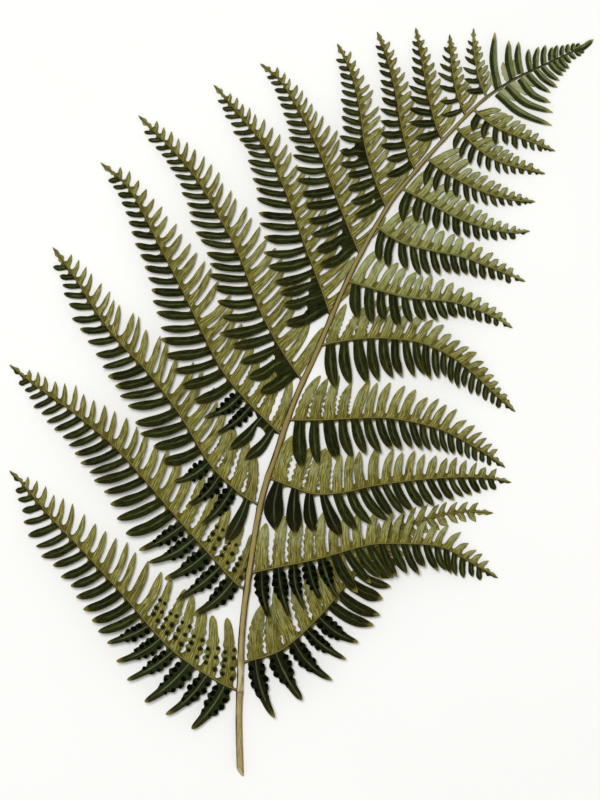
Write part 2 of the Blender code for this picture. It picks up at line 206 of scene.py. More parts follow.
# Each pinna's rib, and its leaflets' lengths and pitch in mm and their angles in degrees, from foot to
# tip. Lower leaflets face the stalk and upper ones the frond's tip. A fan joins the lower ones at the
# foot, and a clump those round one place of the rib
pinnae = {
    "left_1": {
        "side": 1, "grey": 0.1,
        "rib": [(-45, -219), (-64, -210), (-97.5, -186), (-131, -148), (-161, -115), (-184, -91.5),
            (-206, -66), (-218.5, -53)],
        "lower": (42, 43, 34, 28, 24, 7), "upper": (54, 45, 35, 28, 22, 7),
        "lowerTurn": (78, 72, 62), "upperTurn": (67, 66, 52), "pitch": (17, 15, 11, 10, 9.5, 7.5),
        "fertile": 6, "sporeSides": 2,
    },
    "left_2": {
        "side": 1, "grey": 0.1,
        "rib": [(-40.5, -142), (-49, -136.5), (-71, -112), (-94, -86), (-116, -60), (-141, -33),
            (-172.5, -7.5), (-199, 11), (-218.5, 26.5)],
        "lower": (41, 40, 36, 28, 20, 7), "upper": (40, 40, 33, 25, 19, 7),
        "lowerTurn": (88, 66, 56), "upperTurn": (68, 62, 56), "pitch": (16, 14, 11, 9.5, 8.5, 7.5),
        "fertile": 5, "fertileUpper": 3, "sporeSides": 2,
    },
    "left_3": {
        "side": 1, "darkUntil": 0.94, "grey": 0.24,
        "rib": [(-29.5, -79.5), (-45, -70), (-67.5, -48), (-90, -11), (-112.5, 19), (-135, 43),
            (-150, 62), (-169, 91.5), (-186, 115)],
        "lower": (43, 33, 33, 25, 20, 9), "upper": (40, 39, 35, 28, 20, 9.5),
        "lowerTurn": (97, 60, 52), "upperTurn": (64, 58, 50), "pitch": (15, 12, 10.5, 10, 9.5, 7.5),
        "black": 1, "fertileFrom": 1, "fertile": 4, "sporeSides": 1,
    },
    "left_4": {
        "side": 1, "darkUntil": 0.94, "grey": 0.25,
        "rib": [(-12.5, -28), (-37.5, -3), (-58.5, 22.5), (-75, 55), (-90, 86), (-105, 115),
            (-127.5, 157.5), (-150, 178.5)],
        "lower": (38, 33, 32, 23, 16, 8), "upper": (40, 38, 34, 26, 17, 8.5),
        "lowerTurn": (92, 60, 54), "upperTurn": (66, 60, 54), "pitch": (13, 10.5, 9.5, 9.5, 9, 7),
        "fan": 11,
        "black": 2, "fertileFrom": 2, "fertile": 4, "sporeSides": 1,
    },
    "left_5": {
        "side": 1, "darkUntil": 0.94, "grey": 0.35,
        "rib": [(2, 14), (-13, 36), (-28.5, 64), (-39, 91.5), (-48, 114), (-60, 136.5), (-75, 162),
            (-88.5, 180), (-121.5, 214)],
        "lower": (34, 32, 29, 23, 15, 7), "upper": (38, 36, 30, 23, 16, 8),
        "lowerTurn": (86, 58, 44), "upperTurn": (68, 56, 52), "pitch": (12, 9.5, 9, 8.5, 8, 7),
        "fan": 16,
    },
    "left_6": {
        "side": 1, "darkUntil": 0.94, "grey": 0.4,
        "rib": [(23.5, 62), (15, 86), (4, 115), (-5, 141), (-15, 166.5), (-26, 190), (-41, 208.5),
            (-56, 227), (-65, 237)],
        "lower": (36, 33, 28, 22, 15, 7), "upper": (35, 33, 28, 21, 14, 7.5),
        "lowerTurn": (95, 58, 48), "upperTurn": (67, 54, 50), "pitch": (10.5, 9, 8.5, 8, 7.5, 6.5),
        "fan": 17,
    },
    "left_7": {
        "side": 1, "darkUntil": 0.94, "grey": 0.4,
        "rib": [(45, 109), (34, 135), (24, 161), (13, 190), (0, 216), (-15, 240), (-30, 253)],
        "lower": (31, 28, 25, 18, 12, 7), "upper": (32, 30, 24, 18, 12, 7),
        "lowerTurn": (100, 60, 50), "upperTurn": (66, 52, 50), "pitch": (10, 8.5, 8, 7.4, 7, 6),
        "fan": 13,
    },
    "left_8": {
        "side": 1, "darkUntil": 0.94, "grey": 0.4,
        "rib": [(65, 143.5), (57, 163), (49, 189), (45, 217.5), (39, 244), (28, 268)],
        "lower": (26, 22, 20, 15, 11, 7), "upper": (31, 26, 21, 16, 11, 7),
        "lowerTurn": (98, 66, 56), "upperTurn": (64, 52, 50), "pitch": (8.5, 8, 7.4, 7.2, 7, 6.5),
        "fan": 8, "clump": (0.35, 0.1, 10),
    },
    "left_9": {
        "side": 1, "darkUntil": 0.94, "grey": 0.4,
        "rib": [(87, 172), (82, 182), (76, 205), (72, 229), (66, 255), (58, 277)],
        "lower": (22, 19, 16, 12.5, 9.5, 6.5), "upper": (29, 22, 18, 13.5, 10, 6.5),
        "lowerTurn": (92, 58, 45), "upperTurn": (60, 50, 50), "pitch": (8, 7.6, 7.4, 7.2, 7, 6.5),
        "fan": 5,
    },
    "left_10": {
        "side": 1, "darkUntil": 0.94, "grey": 0.4,
        "rib": [(107, 195), (102, 206), (96, 230), (91.5, 255), (87, 280)],
        "lower": (22, 19, 16, 12.5, 9, 6), "upper": (25, 18, 15.5, 12.5, 9, 6),
        "lowerTurn": (80, 52, 42), "upperTurn": (60, 50, 50), "pitch": (8.2, 8, 7.8, 7.6, 7.2, 6.6),
        "fan": 4,
    },
    "left_11": {
        "side": 1, "darkUntil": 0.94, "grey": 0.5,
        "rib": [(124.5, 213), (118, 229), (114, 251), (112.5, 275)],
        "lower": (19, 17, 15, 12, 9, 6), "upper": (20, 15, 12.5, 10, 7.5, 5.5),
        "lowerTurn": (84, 52, 45), "upperTurn": (58, 50, 50), "pitch": (7.5, 7.2, 7, 6.8, 6.6, 6.2),
        "lowerFill": 0.82,
        "black": 2,
    },
    "left_12": {
        "side": 1, "darkUntil": 0.94, "grey": 0.75, "crown": 1,
        "rib": [(140, 227.5), (134, 244), (130.5, 266), (130.5, 279.5)],
        "lower": (14, 13, 12, 10, 7.5, 5), "upper": (14, 12, 10, 8.5, 6.5, 4.5),
        "lowerTurn": (70, 50, 42), "upperTurn": (52, 50, 50), "pitch": (7, 6.8, 6.8, 6.6, 6.4, 6),
        "lowerFill": 0.82, "upperSlope": -0.12,
    },
    "right_1": {
        "side": -1, "darkUntil": 0.6, "grey": 0.3, "crown": 2,
        "rib": [(-44.5, -197.5), (-14, -187.5), (13.5, -163.5), (31.5, -142.5), (52.5, -118.5),
            (73.5, -97.5), (105, -87), (124, -84), (145.5, -85)],
        "lower": (51, 39, 33, 22, 12, 8), "upper": (40, 42, 32, 17, 14, 9),
        "lowerTurn": (87, 74, 56), "upperTurn": (74, 50, 42), "pitch": (16, 14.5, 11, 8.5, 8, 7.5),
        "fertile": 5, "sporeSides": 1,
    },
    "right_2": {
        "side": -1, "grey": 0.45, "crown": 9,
        "rib": [(-38.5, -130), (-15, -125), (15, -118.5), (49, -109), (71, -107.5), (105, -110),
            (127.5, -121.5), (149, -134)],
        "lower": (41, 36, 31, 25, 19, 9), "upper": (41, 37, 30, 23, 16, 8),
        "lowerTurn": (96, 66, 54), "upperTurn": (70, 72, 64), "pitch": (14, 11, 9, 8.5, 7.5, 6.5),
        "fertile": 5, "sporeSides": 1, "scallop": 0.24,
    },
    "right_3": {
        "side": -1, "grey": 0.4, "crown": 8.5,
        "rib": [(-26, -57.5), (-7.5, -64.5), (11, -70.5), (34, -69), (56, -64), (97.5, -59),
            (135, -58), (159, -62)],
        "lower": (37, 34, 30, 25, 18, 8), "upper": (38, 35, 30, 23, 16, 8),
        "lowerTurn": (72, 66, 54), "upperTurn": (90, 72, 66), "pitch": (15, 10.8, 9, 8.5, 7.8, 7),
        "black": 4, "jagged": 5,
    },
    "right_4": {
        "side": -1, "grey": 0.4, "crown": 8,
        "rib": [(-9.5, -15), (15, -15), (45, -13.5), (71, -14), (105, -22), (135, -37.5), (154.5, -51)],
        "lower": (36, 32, 27, 21, 15, 7), "upper": (36, 34, 30, 23, 16, 8),
        "lowerTurn": (92, 62, 46), "upperTurn": (70, 72, 64), "pitch": (12, 10.5, 8.8, 8, 7, 5.5),
        "jagged": 4,
    },
    "right_5": {
        "side": -1, "grey": 0.55,
        "rib": [(14.5, 40.5), (26, 43.5), (49, 46.5), (71, 46), (94, 42), (120, 28.5), (150, 1.5),
            (162, -9)],
        "lower": (35, 31, 28, 22, 15, 7), "upper": (32, 30, 24, 17, 11, 6),
        "lowerTurn": (98, 62, 50), "upperTurn": (54, 66, 62), "pitch": (11.5, 9.5, 8, 7, 6.8, 6),
        "upperWings": (3, 4, 5.5, 6, 4.4, 1.8),
        "jagged": 3,
    },
    "right_6": {
        "side": -1, "grey": 0.85,
        "rib": [(34.5, 90), (60, 82.5), (82.5, 77), (116, 73.5), (142.5, 64), (160, 54)],
        "lower": (30, 25, 20, 15, 10, 6), "upper": (30, 25, 20, 15, 10, 6),
        "lowerTurn": (74, 60, 54), "upperTurn": (72, 70, 64), "pitch": (10.5, 9, 8.3, 8, 7, 6),
        "fan": 6, "upperWings": (6, 7, 7, 6, 4.2, 1.8), "upperFill": 0.94,
    },
    "right_7": {
        "side": -1, "grey": 0.9,
        "rib": [(56.5, 131), (75, 119), (97.5, 112.5), (120, 108), (142.5, 100), (169.5, 89)],
        "lower": (26, 22, 19, 15, 11, 6), "upper": (30, 24, 19, 15, 10, 6),
        "lowerTurn": (60, 60, 54), "upperTurn": (74, 70, 64), "pitch": (9, 8, 7.7, 7.4, 7, 6.5),
        "fan": 6, "upperWings": (6, 6.5, 6.5, 5.4, 3.6, 1.6), "upperFill": 0.92,
    },
    "right_8": {
        "side": -1, "grey": 0.9,
        "rib": [(76, 159), (94, 150), (112.5, 139.5), (135, 130.5), (157.5, 126), (173, 127)],
        "lower": (24, 20, 17, 13, 10, 5), "upper": (28, 22, 18, 14, 9, 5),
        "lowerTurn": (74, 58, 50), "upperTurn": (70, 68, 62), "pitch": (8.5, 7.8, 7.3, 7, 6.8, 6.3),
        "fan": 6, "upperWings": (5.5, 6, 6, 4.6, 3, 1.5), "upperFill": 0.92,
    },
    "right_9": {
        "side": -1, "grey": 0.75,
        "rib": [(94.5, 182), (112.5, 169), (135, 157.5), (157.5, 151), (177, 149)],
        "lower": (21, 18, 15, 11.5, 7.5, 4.5), "upper": (26, 19, 15, 12, 9, 5),
        "lowerTurn": (73, 52, 44), "upperTurn": (66, 66, 62), "pitch": (8, 7.3, 7, 6.8, 6.6, 6.2),
        "fan": 5, "upperWings": (5, 5, 4.6, 3.8, 2.6, 1.4), "lowerFill": 0.88, "upperFill": 0.92,
    },
    "right_10": {
        "side": -1, "grey": 0.7,
        "rib": [(117, 205), (135, 188), (150, 179), (184.5, 170)],
        "lower": (17, 15, 13, 10, 7, 4), "upper": (19, 16, 14, 11.5, 8.5, 5),
        "lowerTurn": (68, 54, 45), "upperTurn": (60, 66, 62), "pitch": (7.5, 7.2, 7, 6.6, 6.4, 6),
        "upperWings": (4.5, 4.5, 4, 3.4, 2.4, 1.4), "lowerFill": 0.85, "upperFill": 0.94,
    },
    "right_11": {
        "side": -1, "grey": 0.75,
        "rib": [(130, 218.5), (146, 206), (169, 196), (192, 187)],
        "lower": (15, 14, 13, 11, 8, 5), "upper": (17, 16, 14.5, 12, 9, 5),
        "lowerTurn": (70, 56, 48), "upperTurn": (50, 58, 66), "pitch": (8.5, 8, 7.5, 7, 6.5, 6),
        "upperWings": (4.5, 4.5, 4, 3.4, 2.4, 1.4), "lowerFill": 0.85, "upperFill": 0.94,
    },
}


# How a pinna's two sides are cut and how they lie. Widths, heights and depths are in mm, and the rest
# are shares or powers
leafForm = {
    "lower": {
        "slope": 0.18, "wing": (1.2, 1.5, 1.5, 1.3, 1.3, 1.6), "body": (0.76, 0.92, 1.0, 1.02, 1.0, 0.96),
        "leftFill": (0.82, 0.79, 0.72, 0.66, 0.61, 0.57), "rightFill": (0.82, 0.84, 0.84, 0.82, 0.78, 0.72),
        "tipFrom": (0.62, 0.60, 0.54), "tipPower": (0.60, 0.54, 0.50), "phase": 0,
        "bend": 0.85, "sway": 1.5, "jitter": 0.05, "uneven": 0.6,
    },
    "upper": {
        "slope": -0.06, "wing": (2.0, 3.0, 4.2, 4.3, 2.6, 0.9), "body": (1.0, 1.0, 1.0, 0.98, 0.92, 0.84),
        "leftFill": (0.69, 0.66, 0.62, 0.55, 0.50, 0.52), "rightFill": (0.74, 0.75, 0.73, 0.68, 0.62, 0.58),
        "tipFrom": (0.62, 0.50, 0.28), "tipPower": (0.62, 0.74, 1.0), "phase": 0.35,
        "bend": 0.62, "sway": 2.4, "jitter": 0.06, "uneven": 0.22,
    },
    "thickness": 0.3, "lowest": 0.36, "ribEnd": 0.7, "crown": 8.5, "fullLength": 240, "archPower": 1.5,
    "start": 1.5, "pitchJitter": 0.09, "endRoom": (9.0, 0.022), "fewest": 4,
    "notchFill": 0.9, "notchMost": 0.25, "leastHalf": 0.09, "waviness": 0.045, "endPower": 1.7,
    "sharper": 0.17, "smallPinna": 115, "smallTip": 0.12,
    "sickle": 0.28, "droop": 0.9, "lift": 0.35, "settle": 0.45, "twist": 0.16,
    "ridge": 0.28, "ridgeWidth": 0.17, "cup": 0.3, "cupWidth": 2.5, "cupMost": 1.2, "flatFoot": 0.2,
    "endInside": 0.5, "bendSpread": (0.6, 1.35), "waves": (0.8, 1.6),
}

# The wings that join leaflets at their feet. At a fan or a clump the dark ones are joined far out
wingForm = {
    "most": 0.58, "first": 0.6, "fanSpread": 2.6, "wide": 3, "wideSpan": 3, "sharpSpan": 5,
    "fanSharper": 0.34, "seamless": 1.5, "rimless": 9,
}

# Leaflets that bear spores or stand next to such ones, black ones, and edges with teeth
fertileForm = {
    "body": (0.74, 0.98, 1.06, 1.04, 0.94, 0.72, 0.53, 0.46, 0.43, 0.40), "tail": 0.4,
    "fill": {"lower": 0.78, "upper": 0.7}, "endPower": 5,
    "scallops": 6.0, "scallopDepth": 0.38, "scallopUntil": 0.68, "scallopFade": 0.1, "flankShift": 0.7,
}
blackForm = {"body": (0.55, 0.82, 1.08, 1.24, 1.28, 1.2, 1.05), "fill": {1: 0.68, -1: 1}, "sharper": 0.3}
toothForm = {"teeth": 7, "depth": 0.07, "jagDepth": 0.5, "least": 0.4, "until": 0.7, "fade": 0.2}
acrossSteps = np.array([-1, -0.8, -0.45, -0.17, 0, 0.17, 0.45, 0.8, 1])
wingSteps = np.array([0, 0.5, 1])
notchSteps = np.array([0.12, 0.42, 1.0])
bladeSteps = {
    "plain": np.array([0.12, 0.24, 0.37, 0.5, 0.62, 0.73, 0.82, 0.9, 0.96, 0.99, 1.0]),
    "fine": np.concatenate([np.linspace(0.05, 0.6, 17), [0.66, 0.74, 0.82, 0.9, 0.95, 0.985, 1.0]]),
}


# Everything about a pinna that both of its sides need
def pinnaFrame(spec):
    rib = smoothCourse(spec["rib"])
    rooted = nearestOn(rachis["course"], spec["rib"][0])
    length = rib["length"]
    crown = spec.get("crown", leafForm["crown"] * min(length / leafForm["fullLength"], 1))
    rootHeight, rootRadius = float(rachisHeight(rooted)), float(rachisRadius(rooted))

    def ribHeight(distance):
        share = np.clip(distance / length, 0, 1)
        arch = np.clip(np.sin(np.pi * share), 0, None) ** leafForm["archPower"]
        return rootHeight * (1 - smooth(share)) + leafForm["ribEnd"] * smooth(share) + crown * arch

    return {"rib": rib, "length": length, "ribHeight": ribHeight, "rootRadius": rootRadius}


# The notches between leaflets, spaced by the pitch and a little uneven
def notchPlaces(spec, pinna, side):
    least, further = leafForm["endRoom"]
    end = pinna["length"] * (1 - further) - least
    d = np.linspace(leafForm["start"] * pinna["rootRadius"], end, 400)
    pitches = profile(spec["pitch"], d[1:] / pinna["length"])
    count = np.concatenate([[0], np.cumsum(np.diff(d) / pitches)])
    leaflets = max(leafForm["fewest"], round(count[-1] + leafForm[side]["phase"]))
    notches = np.interp(np.arange(leaflets + 1), count * leaflets / count[-1], d)
    gaps = np.diff(notches)
    uneven = dice.uniform(-leafForm["pitchJitter"], leafForm["pitchJitter"], leaflets - 1)
    notches[1:-1] += uneven * np.minimum(gaps[:-1], gaps[1:])
    return notches


# How far out from the rib the leaflets stay joined at each notch
def wingDepths(spec, pinna, side, notches, rooms):
    form, shares = leafForm[side], notches / pinna["length"]
    wings = profile(spec.get(side + "Wings", form["wing"]), shares)
    wings = wings * (1 + form["uneven"] * dice.uniform(-1, 1, len(wings)))
    if side == "lower":
        fan = spec.get("fan", 0)
        fromFoot = (notches - notches[0]) / (wingForm["fanSpread"] * max(fan, 1))
        wings = np.maximum(wings, fan * (1 - smooth(fromFoot)))
        at, spread, depth = spec.get("clump", (0, 1, 0))
        wings = np.maximum(wings, depth * (1 - smooth(abs(shares - at) / spread)))
    wings = np.minimum(wings, wingForm["most"] * rooms)
    wings[0] = min(wings[0], wingForm["first"])
    return wings


# The lines from the rib out to each notch, which the leaflets on both sides of it share
def makeSeams(clay, spec, pinna, side, turn, notches, wings):
    shares = (notches - notches[0]) / (notches[-1] - notches[0])
    slope = spec.get(side + "Slope", leafForm[side]["slope"])
    seams = []
    for at, angle, wing in zip(notches, profile(spec[side + "Turn"], shares), wings):
        way = turned(headingOn(pinna["rib"], at), angle * turn)
        reach = wing * wingSteps
        flat = placeOn(pinna["rib"], at) + way * reach[:, None]
        height = pinna["ribHeight"](at) + slope * reach * math.sin(math.radians(angle))
        places = np.column_stack([flat, np.maximum(height, leafForm["lowest"])])
        seams.append({"at": at, "places": places, "index": clay.addPoints(places)})
    return seams


# A leaflet's half widths, as shares of the full one, at shares b of its blade
def bladeBody(spec, side, one, b):
    if one["fertile"]:
        body = profile(fertileForm["body"], b)
        return body if side == "lower" else fertileForm["tail"] + (1 - fertileForm["tail"]) * body
    if one["black"]:
        return profile(blackForm["body"], b) * blackForm["fill"][spec["side"]]
    return profile(leafForm[side]["body"], b)


def bladeTaper(spec, pinna, side, one, b):
    cut = leafForm["upper"] if one["slot"] else leafForm[side]
    share = one["foot"] / pinna["length"]
    small = pinna["length"] < leafForm["smallPinna"]
    pointed = side == "lower" and (spec["side"] < 0 or small)
    sharper = leafForm["sharper"] * (1 + small) if pointed else 0
    if side == "lower":
        joined = smooth((one["wing"] - wingForm["wide"]) / wingForm["sharpSpan"])
        sharper += wingForm["fanSharper"] * joined
        sharper += blackForm["sharper"] * one["black"]
    tipFrom, tipPower = profile(cut["tipFrom"], share), profile(cut["tipPower"], share) + sharper
    if pointed and small:
        tipFrom = tipFrom - leafForm["smallTip"]
    tipShare = np.clip((b - tipFrom) / (1 - tipFrom), 0, 1)
    return (1 - tipShare ** (fertileForm if one["fertile"] else leafForm)["endPower"]) ** tipPower


# Scallops on a fertile leaflet's two edges, or small teeth on another's
def edgeWaves(spec, one, b):
    waves = []
    for flank in (0, 0.5):
        if one["fertile"]:
            turns = b * fertileForm["scallops"] + flank * fertileForm["flankShift"] + 0.5 * one["seed"]
            fade = smooth((fertileForm["scallopUntil"] - b) / fertileForm["scallopFade"])
            depth = spec.get("scallop", fertileForm["scallopDepth"]) * fade
        else:
            turns = b * toothForm["teeth"] + flank + one["seed"]
            depth = one["toothDepth"] * smooth((toothForm["until"] - b) / toothForm["fade"])
        waves.append(1 + depth * (np.abs(np.sin(np.pi * turns)) - 0.5))
    return waves


# The free part of a leaflet, as a grid of rows outward from its two notches
def leafletBlade(spec, pinna, side, one, seams):
    rib, turn, wing, length = pinna["rib"], one["turn"], one["wing"], one["length"]
    foot, forward = placeOn(rib, one["foot"]), headingOn(rib, one["foot"])
    way = turned(forward, one["angle"] * turn)
    ahead = turned(way, -90 * turn)
    bladeLength = length - wing
    pitchHalf = one["pitch"] * math.sin(math.radians(one["angle"])) / 2
    full = pitchHalf * (fertileForm["fill"][side] if one["fertile"] else one["fill"])
    notch = min(pitchHalf - full * leafForm["notchFill"], leafForm["notchMost"] * bladeLength)
    steps = bladeSteps["fine" if one["fertile"] or one["jagged"] else "plain"]
    out = np.concatenate([[0], notch * notchSteps, notch + (bladeLength - notch) * steps])
    b = out / bladeLength
    wave = 1 + leafForm["waviness"] * np.sin(2 * np.pi * (b * one["waves"] + one["seed"]))
    blade = full * bladeBody(spec, side, one, b) * bladeTaper(spec, pinna, side, one, b) * wave
    blade = blade + leafForm["leastHalf"]
    rounding = np.sqrt(1 - (1 - np.clip(out / notch, 0, 1)) ** 2)

    along = (wing + out) / length
    sickle = leafForm["sickle"] * one["bend"] * along * (1 - along) * length
    centre = foot + way * (wing + out)[:, None] - ahead * sickle[:, None]
    slope = spec.get(side + "Slope", leafForm[side]["slope"])
    settle = (1 - smooth(b / leafForm["settle"]))[:, None]
    halves, edges = [], []
    for sign, waves, seam in zip((-1, 1), edgeWaves(spec, one, b), seams):
        half = pitchHalf + (blade * waves - pitchHalf) * rounding
        flat = centre + ahead * (sign * half)[:, None]
        reach = (flat - foot) @ turned(forward, 90 * turn)
        lift = slope * reach - leafForm["droop"] * b**2 + one["lift"] * b**2
        edge = np.column_stack([flat, pinna["ribHeight"](one["foot"]) + lift])
        halves.append(half)
        edges.append(edge + (seam["places"][-1] - edge[0]) * settle)

    # The cross-section: a raised midrib, edges that curl up and a small twist
    v = (acrossSteps + 1) / 2
    grid = edges[0][:, None] * (1 - v)[None, :, None] + edges[1][:, None] * v[None, :, None]
    midrib = leafForm["ridge"] * np.exp(-(acrossSteps / leafForm["ridgeWidth"]) ** 2)
    wide = np.minimum(blade / leafForm["cupWidth"], leafForm["cupMost"])
    curl = leafForm["cup"] * (acrossSteps**2)[None] * wide[:, None]
    roll = one["twist"] * acrossSteps[None] * blade[:, None]
    free = smooth(b / leafForm["flatFoot"])[:, None]
    grid[..., 2] += midrib[None] * np.sqrt(np.clip(1 - b, 0, 1))[:, None] + (curl + roll) * free
    grid[..., 2] = np.maximum(grid[..., 2], leafForm["lowest"])
    one["surface"] = (b, grid)
    return {"grid": grid, "out": out, "blade": blade, "halves": halves, "pitchHalf": pitchHalf,
            "notch": notch, "midrib": midrib, "v": v}


def addLeaflet(clay, spec, pinna, side, one, seams):
    leaflet = leafletBlade(spec, pinna, side, one, seams)
    wing, length, v, blade = one["wing"], one["length"], leaflet["v"], leaflet["blade"]
    shared = len(wingSteps)

    # The wing between the leaflets is shared with the neighbours along the seams
    inner = []
    for number in range(shared - 1):
        row = seams[0]["places"][number] * (1 - v)[:, None] + seams[1]["places"][number] * v[:, None]
        row[1:-1, 2] += (leaflet["midrib"] * wingSteps[number])[1:-1]
        inner.append(row)
    rows = np.concatenate([np.array(inner), leaflet["grid"]])
    index = np.zeros(rows.shape[:2], int)
    index[:, 1:-1] = clay.addPoints(rows[:, 1:-1]).reshape(rows.shape[0], -1)
    for column, seam in zip((0, -1), seams):
        index[:shared, column] = seam["index"]
        index[shared:, column] = clay.addPoints(rows[shared:, column])

    # How far in from the edge each corner is. Wings of widely joined dark leaflets count as inside
    out = np.concatenate([wing * wingSteps[:-1], wing + leaflet["out"]])
    foot = [leaflet["pitchHalf"]] * (shared - 1)
    near, far = [np.concatenate([foot, half]) for half in leaflet["halves"]]
    across = far[:, None] * v[None] - near[:, None] * (1 - v)[None]
    joined = smooth((wing - wingForm["wide"]) / wingForm["wideSpan"]) if side == "lower" else 0
    width = np.concatenate([[blade[0]] * (shared - 1), blade])
    rimless = wingForm["rimless"]
    width = width * np.where(out < wing + leaflet["notch"], 1 + rimless * joined, rimless)
    inside = np.minimum(across + near[:, None], far[:, None] - across)
    inside = np.minimum(inside, width[:, None] - np.abs(across))
    inside = np.minimum(inside, (length - out)[:, None] * leafForm["endInside"])
    inside = np.maximum(inside, (wingForm["seamless"] * joined * (out < wing))[:, None])
    marks = markCorners(
        rows.shape[:2], share=(out / length)[:, None], special=one["fertile"] or one["black"],
        along=out[:, None], across=across, inside=inside, seed=one["seed"], grey=spec["grey"])
    clay.addGrid(index, marks, one["slot"])


# The last bit of a pinna, where its leaflets have run together round the rib's end
endLobe = {
    "half": (1.0, 1.25, 1.3, 1.1, 0.85, 0.55, 0.08), "width": (1.15, 0.005), "most": 1.75,
    "teeth": 2.1, "depth": 0.27, "smoothFrom": 0.6, "slope": 0.1, "rows": 25, "settle": 0.6,
    "edge": 0.05, "seed": 0.37, "share": 0.35,
}


def addEndLobe(clay, spec, pinna, turn, seam, slot):
    rib, length = pinna["rib"], pinna["length"]
    d = np.linspace(seam["at"], length, endLobe["rows"])
    s = (d - d[0]) / (d[-1] - d[0])
    perpendicular = turned(headingOn(rib, d), 90 * turn)
    least, further = endLobe["width"]
    width = profile(endLobe["half"], s) * min(endLobe["most"], least + length * further)
    teeth = np.sin(2 * np.pi * (endLobe["teeth"] * s + dice.uniform()))
    plain = smooth((s - endLobe["smoothFrom"]) / (1 - endLobe["smoothFrom"]))
    width = width * (1 + endLobe["depth"] * teeth * (1 - plain))
    across = width[:, None] * wingSteps[None]
    flat = placeOn(rib, d)[:, None] + perpendicular[:, None] * across[..., None]
    height = pinna["ribHeight"](d)[:, None] + endLobe["slope"] * across
    grid = np.concatenate([flat, height[..., None]], -1)
    grid += (seam["places"] - grid[0])[None] * (1 - smooth(s / endLobe["settle"]))[:, None, None]
    grid[..., 2] = np.maximum(grid[..., 2], leafForm["lowest"])
    index = np.zeros(grid.shape[:2], int)
    index[0] = seam["index"]
    index[1:] = clay.addPoints(grid[1:]).reshape(len(d) - 1, -1)
    share = endLobe["share"] + (1 - endLobe["share"]) * s
    marks = markCorners(
        grid.shape[:2], share=share[:, None], along=(s * (d[-1] - d[0]))[:, None], across=across,
        inside=width[:, None] * (1 - wingSteps)[None] + endLobe["edge"], seed=endLobe["seed"],
        grey=spec["grey"])
    clay.addGrid(index, marks, slot)


# One side of a pinna. Lower leaflets face the stalk and are dark with painted shade, and upper ones face
# the frond's tip
def addSide(clay, spec, pinna, side, slotAt):
    form, lower = leafForm[side], side == "lower"
    turn = spec["side"] * (1 if lower else -1)
    notches = notchPlaces(spec, pinna, side)
    middles = (notches[1:] + notches[:-1]) / 2
    shares = (middles - notches[0]) / (notches[-1] - notches[0])
    lengths = profile(spec[side], shares)
    lengths = lengths * (1 + dice.normal(0, form["jitter"], len(lengths)))
    wings = wingDepths(spec, pinna, side, notches, np.interp(notches, middles, lengths))
    seams = makeSeams(clay, spec, pinna, side, turn, notches, wings)
    fertileFrom, fertileTo = spec.get("fertileFrom", 0), spec.get("fertile", 0)
    spored = lower or spec.get("sporeSides", 0) > 1
    sporedTo = fertileTo if lower else spec.get("fertileUpper", fertileTo)
    fills = form["leftFill" if spec["side"] > 0 else "rightFill"]
    made = []
    for number, at in enumerate(middles):
        one = {
            "foot": at, "turn": turn, "length": lengths[number], "slot": slotAt(at / pinna["length"]),
            "pitch": notches[number + 1] - notches[number], "wing": (wings[number] + wings[number + 1]) / 2,
            "angle": profile(spec[side + "Turn"], shares[number]) + dice.normal(0, form["sway"]),
            "fill": profile(fills, at / pinna["length"]) * spec.get(side + "Fill", 1),
            "fertile": spored and fertileFrom <= number < sporedTo,
            "black": lower and number < spec.get("black", 0),
            "jagged": not lower and number < spec.get("jagged", fertileTo),
            "seed": dice.uniform(),
            "bend": form["bend"] * dice.uniform(*leafForm["bendSpread"]),
            "waves": dice.uniform(*leafForm["waves"]),
            "twist": leafForm["twist"] * dice.uniform(-1, 1),
            "lift": leafForm["lift"] * dice.uniform(-1, 1),
        }
        depth = toothForm["jagDepth" if one["jagged"] else "depth"]
        one["toothDepth"] = depth * dice.uniform(toothForm["least"], 1)
        addLeaflet(clay, spec, pinna, side, one, (seams[number], seams[number + 1]))
        made.append(one)
    addEndLobe(clay, spec, pinna, turn, seams[-1], slotAt(1))
    return made


rodForm = {"ridgeCount": 5, "capSteps": (0.85, 0.5, 0.12), "lowest": 0.02}


# A closed round rib along a course, with its own radius and height at each station
def addRod(clay, course, stations, radii, heights, slot, sides, flatten=1.0, ridges=0.0,
           lean=None, tilt=None, lowSide=1, grey=0.0):
    centre, way = placeOn(course, stations), headingOn(course, stations)
    across = np.stack([way[:, 1], -way[:, 0]], -1)
    angle = np.arange(sides + 1) / sides * 2 * np.pi
    shape = 1 + ridges * np.cos(rodForm["ridgeCount"] * angle)
    x = radii[:, None] * (np.cos(angle) * shape)[None]
    z = radii[:, None] * (np.sin(angle) * shape)[None] * flatten
    flat = centre[:, None] + across[:, None] * x[..., None]
    if lean is not None:
        shift = tilt[:, None] * np.sin(angle)[None] - lean[:, None] * np.cos(angle)[None]
        flat = flat + way[:, None] * shift[..., None]
    rows = np.concatenate([flat, np.maximum(heights[:, None] + z, 0)[..., None]], -1)
    index = np.zeros(rows.shape[:2], int)
    index[:, :-1] = clay.addPoints(rows[:, :-1]).reshape(len(stations), sides)
    index[:, -1] = index[:, 0]
    marks = markCorners(
        rows.shape[:2], share=(stations / course["length"])[:, None], along=stations[:, None],
        across=lowSide * np.cos(angle)[None], grey=grey)
    clay.addGrid(index, marks, slot)
    return rows, index


# Closes the last ring of a rod with a strip of quads
def fillRing(clay, ring, slot):
    count = len(ring)
    quads = np.array([[k, k + 1, count - 2 - k, count - 1 - k] for k in range(count // 2 - 1)])
    clay.quads.append(np.asarray(ring)[quads])
    clay.marks.append(markCorners((len(quads), 4)))
    clay.slots.append(np.full(len(quads), slot))


